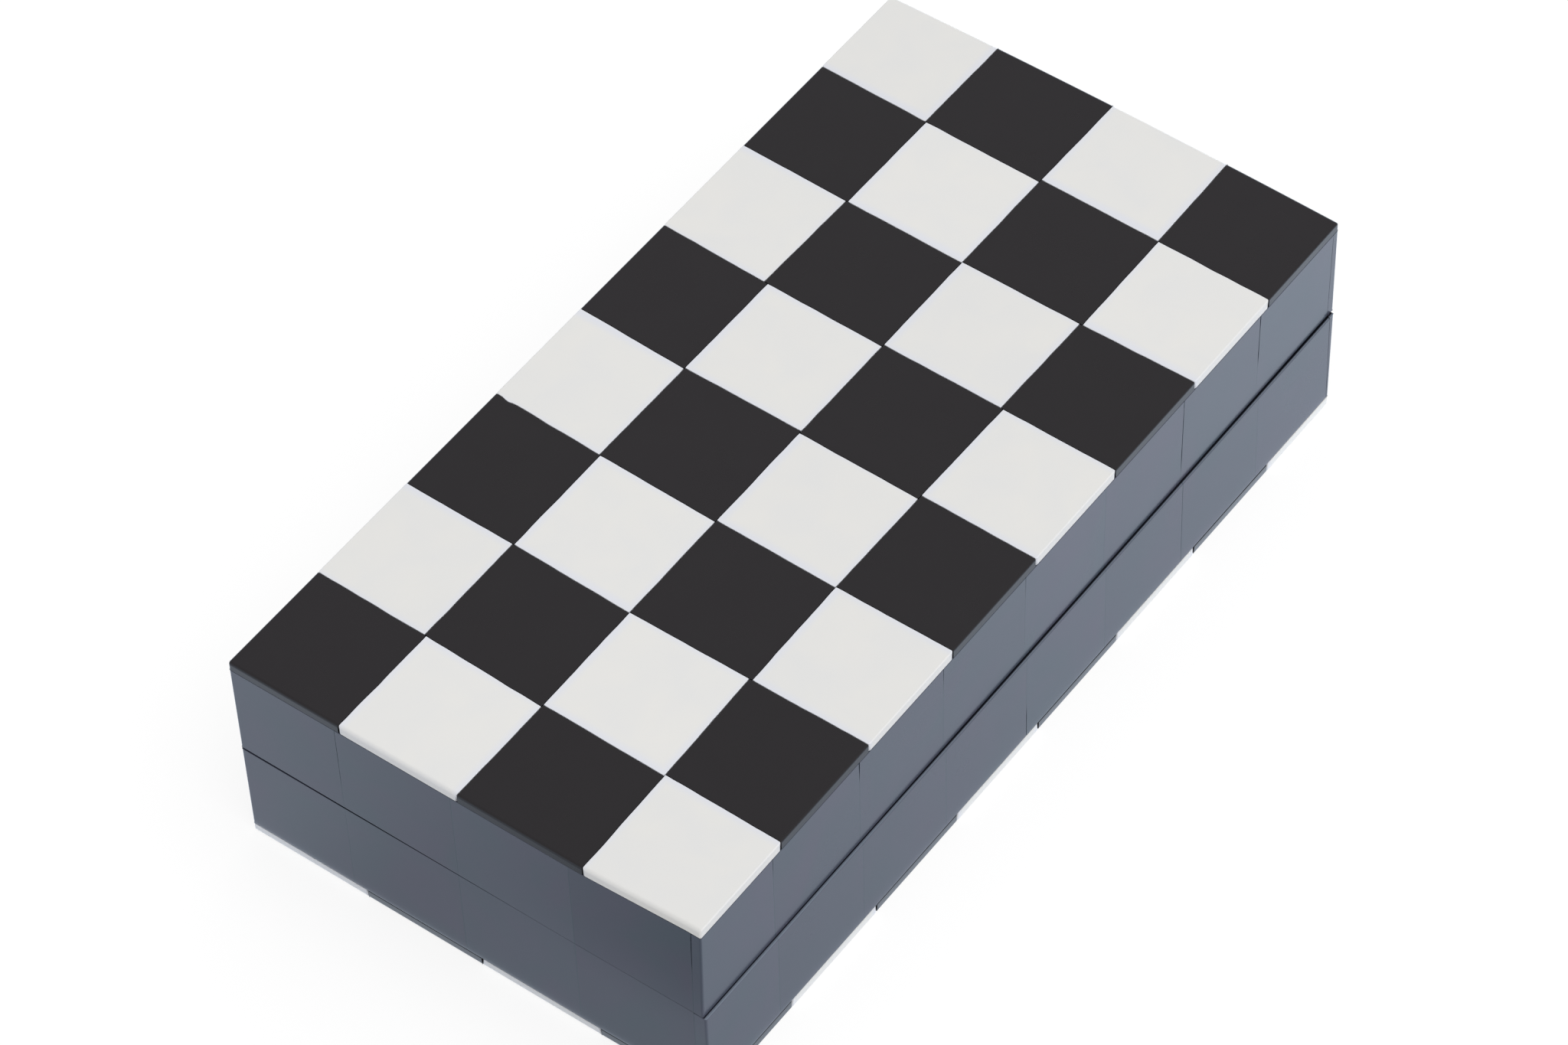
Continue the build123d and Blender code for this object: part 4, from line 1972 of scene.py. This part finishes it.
    def mirrored_floor(self, g: Graph) -> Socket:
        """How bright the floor looks in the case's polished sides: dimmer off its end than off its front.

        Args:
            g: The floor's graph.

        Returns:
            The strength of its emission.
        """
        s = CaseSizes()
        x, y, _ = g.parts(g.place())
        foot = g.subtract((s.lower_front - s.foot_lean[0]) * MM, g.multiply(x, s.foot_lean[1]))
        front = g.add(self.along_front.at(g, x), self.before_front.at(g, y))
        front = g.add(front, self.under_foot.at(g, g.subtract(foot, y)))
        heel = g.add((s.left + s.end_lean[0]) * MM, g.multiply(y, s.end_skew))
        end = g.fade(self.leaving_end.at(g, x), self.by_end.at(g, y), self.off_end.at(g, y))
        end = g.add(end, self.under_heel.at(g, g.subtract(heel, x)))
        return g.fade(self.round_corner.at(g, x), end, front)

    def floor(self) -> bpy.types.Object:
        """Lay the floor, which shows white but keeps the object's shadow.

        Returns:
            The floor.
        """
        bm = bmesh.new()
        bmesh.ops.create_grid(bm, x_segments=1, y_segments=1, size=self.floor_size / 2)
        bmesh.ops.translate(bm, vec=(0.0, 0.0, -self.floor_below), verts=bm.verts)
        material, g = new_material("pale_floor")
        camera, mirrored = self.seen(g)
        matt = g.node("ShaderNodeBsdfDiffuse", {"Color": (*(self.floor_albedo,) * 3, 1.0)})
        white = g.node("ShaderNodeEmission", {"Color": WHITE, "Strength": self.floor_glow})
        gloss = g.node("ShaderNodeEmission", {"Color": self.mirrored_low, "Strength": self.mirrored_floor(g)})
        lit = g.mix_shaders(mirrored, matt, gloss)
        shown = g.mix_shaders(g.multiply(camera, self.floor_shown), lit, white)
        g.node("ShaderNodeOutputMaterial", {"Surface": shown.outputs[0]})
        made = finish_mesh("floor", bm, material)
        return made

    def key(self) -> bpy.types.Object:
        """Hang the large soft lamp.

        Returns:
            The lamp.
        """
        data = bpy.data.lights.new("key", "AREA")
        data.shape = "SQUARE"
        data.size = self.key_size
        data.energy = self.key_power
        made = new_object("key", data)
        made.location = self.key_at
        made.rotation_mode = "QUATERNION"
        made.rotation_quaternion = (-Vector(self.key_at)).to_track_quat("-Z", "Y")
        return made

    def build(self) -> None:
        """Set up the whole studio."""
        bpy.context.scene.view_settings.view_transform = "Standard"
        self.camera()
        self.world()
        self.floor()
        self.key()


RESINS = {
    Tone.WHITE: CastResin(
        name="white_resin",
        body="#e3e2df",
        cloud="#e0e0df",
        cloud_size=16.0,
        edge="#dcdee5",
        edge_reach=3.5,
        speck="#8d8d8b",
        speck_share=0.004,
        tile_spread=0.012,
        roughness=0.3,
        haze=0.08,
        ripple=0.02,
        specular=0.35,
    ),
    Tone.BLACK: CastResin(
        name="black_resin",
        body="#110c11",
        cloud="#130f13",
        cloud_size=20.0,
        edge="#110d11",
        edge_reach=3.0,
        speck="#2b2a2c",
        speck_share=0.002,
        tile_spread=0.08,
        roughness=0.28,
        haze=0.06,
        ripple=0.02,
        specular=0.5,
    ),
}
SLATE_RESIN = CastResin(
    name="slate_resin",
    body="#3c4652",
    cloud="#444354",
    cloud_size=26.0,
    edge="#3c4652",
    edge_reach=0.5,
    speck="#4a4e57",
    speck_share=0.002,
    tile_spread=0.05,
    roughness=0.2,
    haze=0.1,
    ripple=0.03,
    specular=0.5,
    # Painted shade for the parting gap, and a painted highlight for the lower front ledge's arris.
    painted_gap_shade="#0d0f15",
    painted_ledge_highlight="#6d7683",
)
BRASS = WorkedMetal("worked_brass", "#d9b56a", "#a8803f", 0.25, 0.3, 0.08)
STEEL = WorkedMetal("drawn_steel", "#c6c5c2", "#8a8783", 0.3, 0.28, 0.06)
NICKEL = WorkedMetal("nickel_plate", "#d2d0cc", "#a5a29c", 0.25, 0.16, 0.04)

OUTER_EDGES = {Tone.WHITE: OuterEdges(0.45, 1.35, 0.9), Tone.BLACK: OuterEdges(0.7, 1.2, 0.15)}
LOWER_FIRST_SEAM = (-133.0, -49.4)
SHUT = (0.0, 0.1)
SHOWN_GAPS = {
    (Half.UPPER, Side.FRONT): (
        (60.0, 0.4),
        (26.0, 0.5),
        (36.0, 0.38),
        SHUT,
        (10.0, 0.2),
        (10.0, 0.3),
        (10.0, 0.65),
        (10.0, 0.25),
    ),
    (Half.UPPER, Side.LEFT): ((20.0, 0.6), SHUT, SHUT, (30.0, 0.14)),
    (Half.LOWER, Side.FRONT): ((60.0, 0.4), SHUT, (50.0, 0.16), SHUT, (18.0, 0.3), SHUT, SHUT, SHUT),
    (Half.LOWER, Side.LEFT): ((10.0, 0.3), SHUT, SHUT, SHUT),
}


def build_half(half: Half, sizes: CaseSizes, effects: Effects, shared: dict[str, bpy.types.Material]) -> None:
    """Dress one half of the case.

    Args:
        half: Which half.
        sizes: The sizes of the case.
        effects: The shared node groups.
        shared: The finishes that both halves have in common, by name.
    """
    if half is Half.UPPER:
        strayed_file = Nick(seam=3, at=85.0, depth=-0.55, reach=1.6)
        face = PlayingFace(sizes, half, measured_drift().settled(), (strayed_file,))
    else:
        face = PlayingFace(sizes, half, Drift.drawn(5, 0.6).settled(), first_seam=LOWER_FIRST_SEAM)
    for tone in Tone:
        face.build(tone, RESINS[tone].material(effects, face.layout(), half.value))
    for side in Side:
        row = SideTiles(sizes, half, side, SHOWN_GAPS.get((half, side), ()))
        row.build(SLATE_RESIN.material(effects, row.layout(), f"{half.value}_{side.value}"))
    Tray(half).build({grain: shared[grain.value] for grain in Grain})
    FeltLining(sizes, half).build(shared["felt"])
    Closure(half).build(shared["nickel"])


def main() -> None:
    """Build the studio and every piece of the case."""
    logging.basicConfig(level=logging.INFO, format="%(name)s: %(message)s")
    sizes = CaseSizes()
    Studio().build()
    effects = Effects()
    shared = {grain.value: SandedWood().material(effects, grain) for grain in Grain}
    shared["felt"] = WoolFelt().material(effects)
    for name, metal in (("brass", BRASS), ("steel", STEEL), ("nickel", NICKEL)):
        shared[name] = metal.material(effects)
    for half in Half:
        build_half(half, sizes, effects, shared)
    hinges = HingeSet(sizes)
    for end in (Side.LEFT, Side.RIGHT):
        hinges.pin(end, shared["steel"])
        for half in Half:
            hinges.leaf(half, end, shared["brass"])
    for half in Half:
        hinges.screws(half, shared["brass"])


if __name__ == "__main__":
    main()
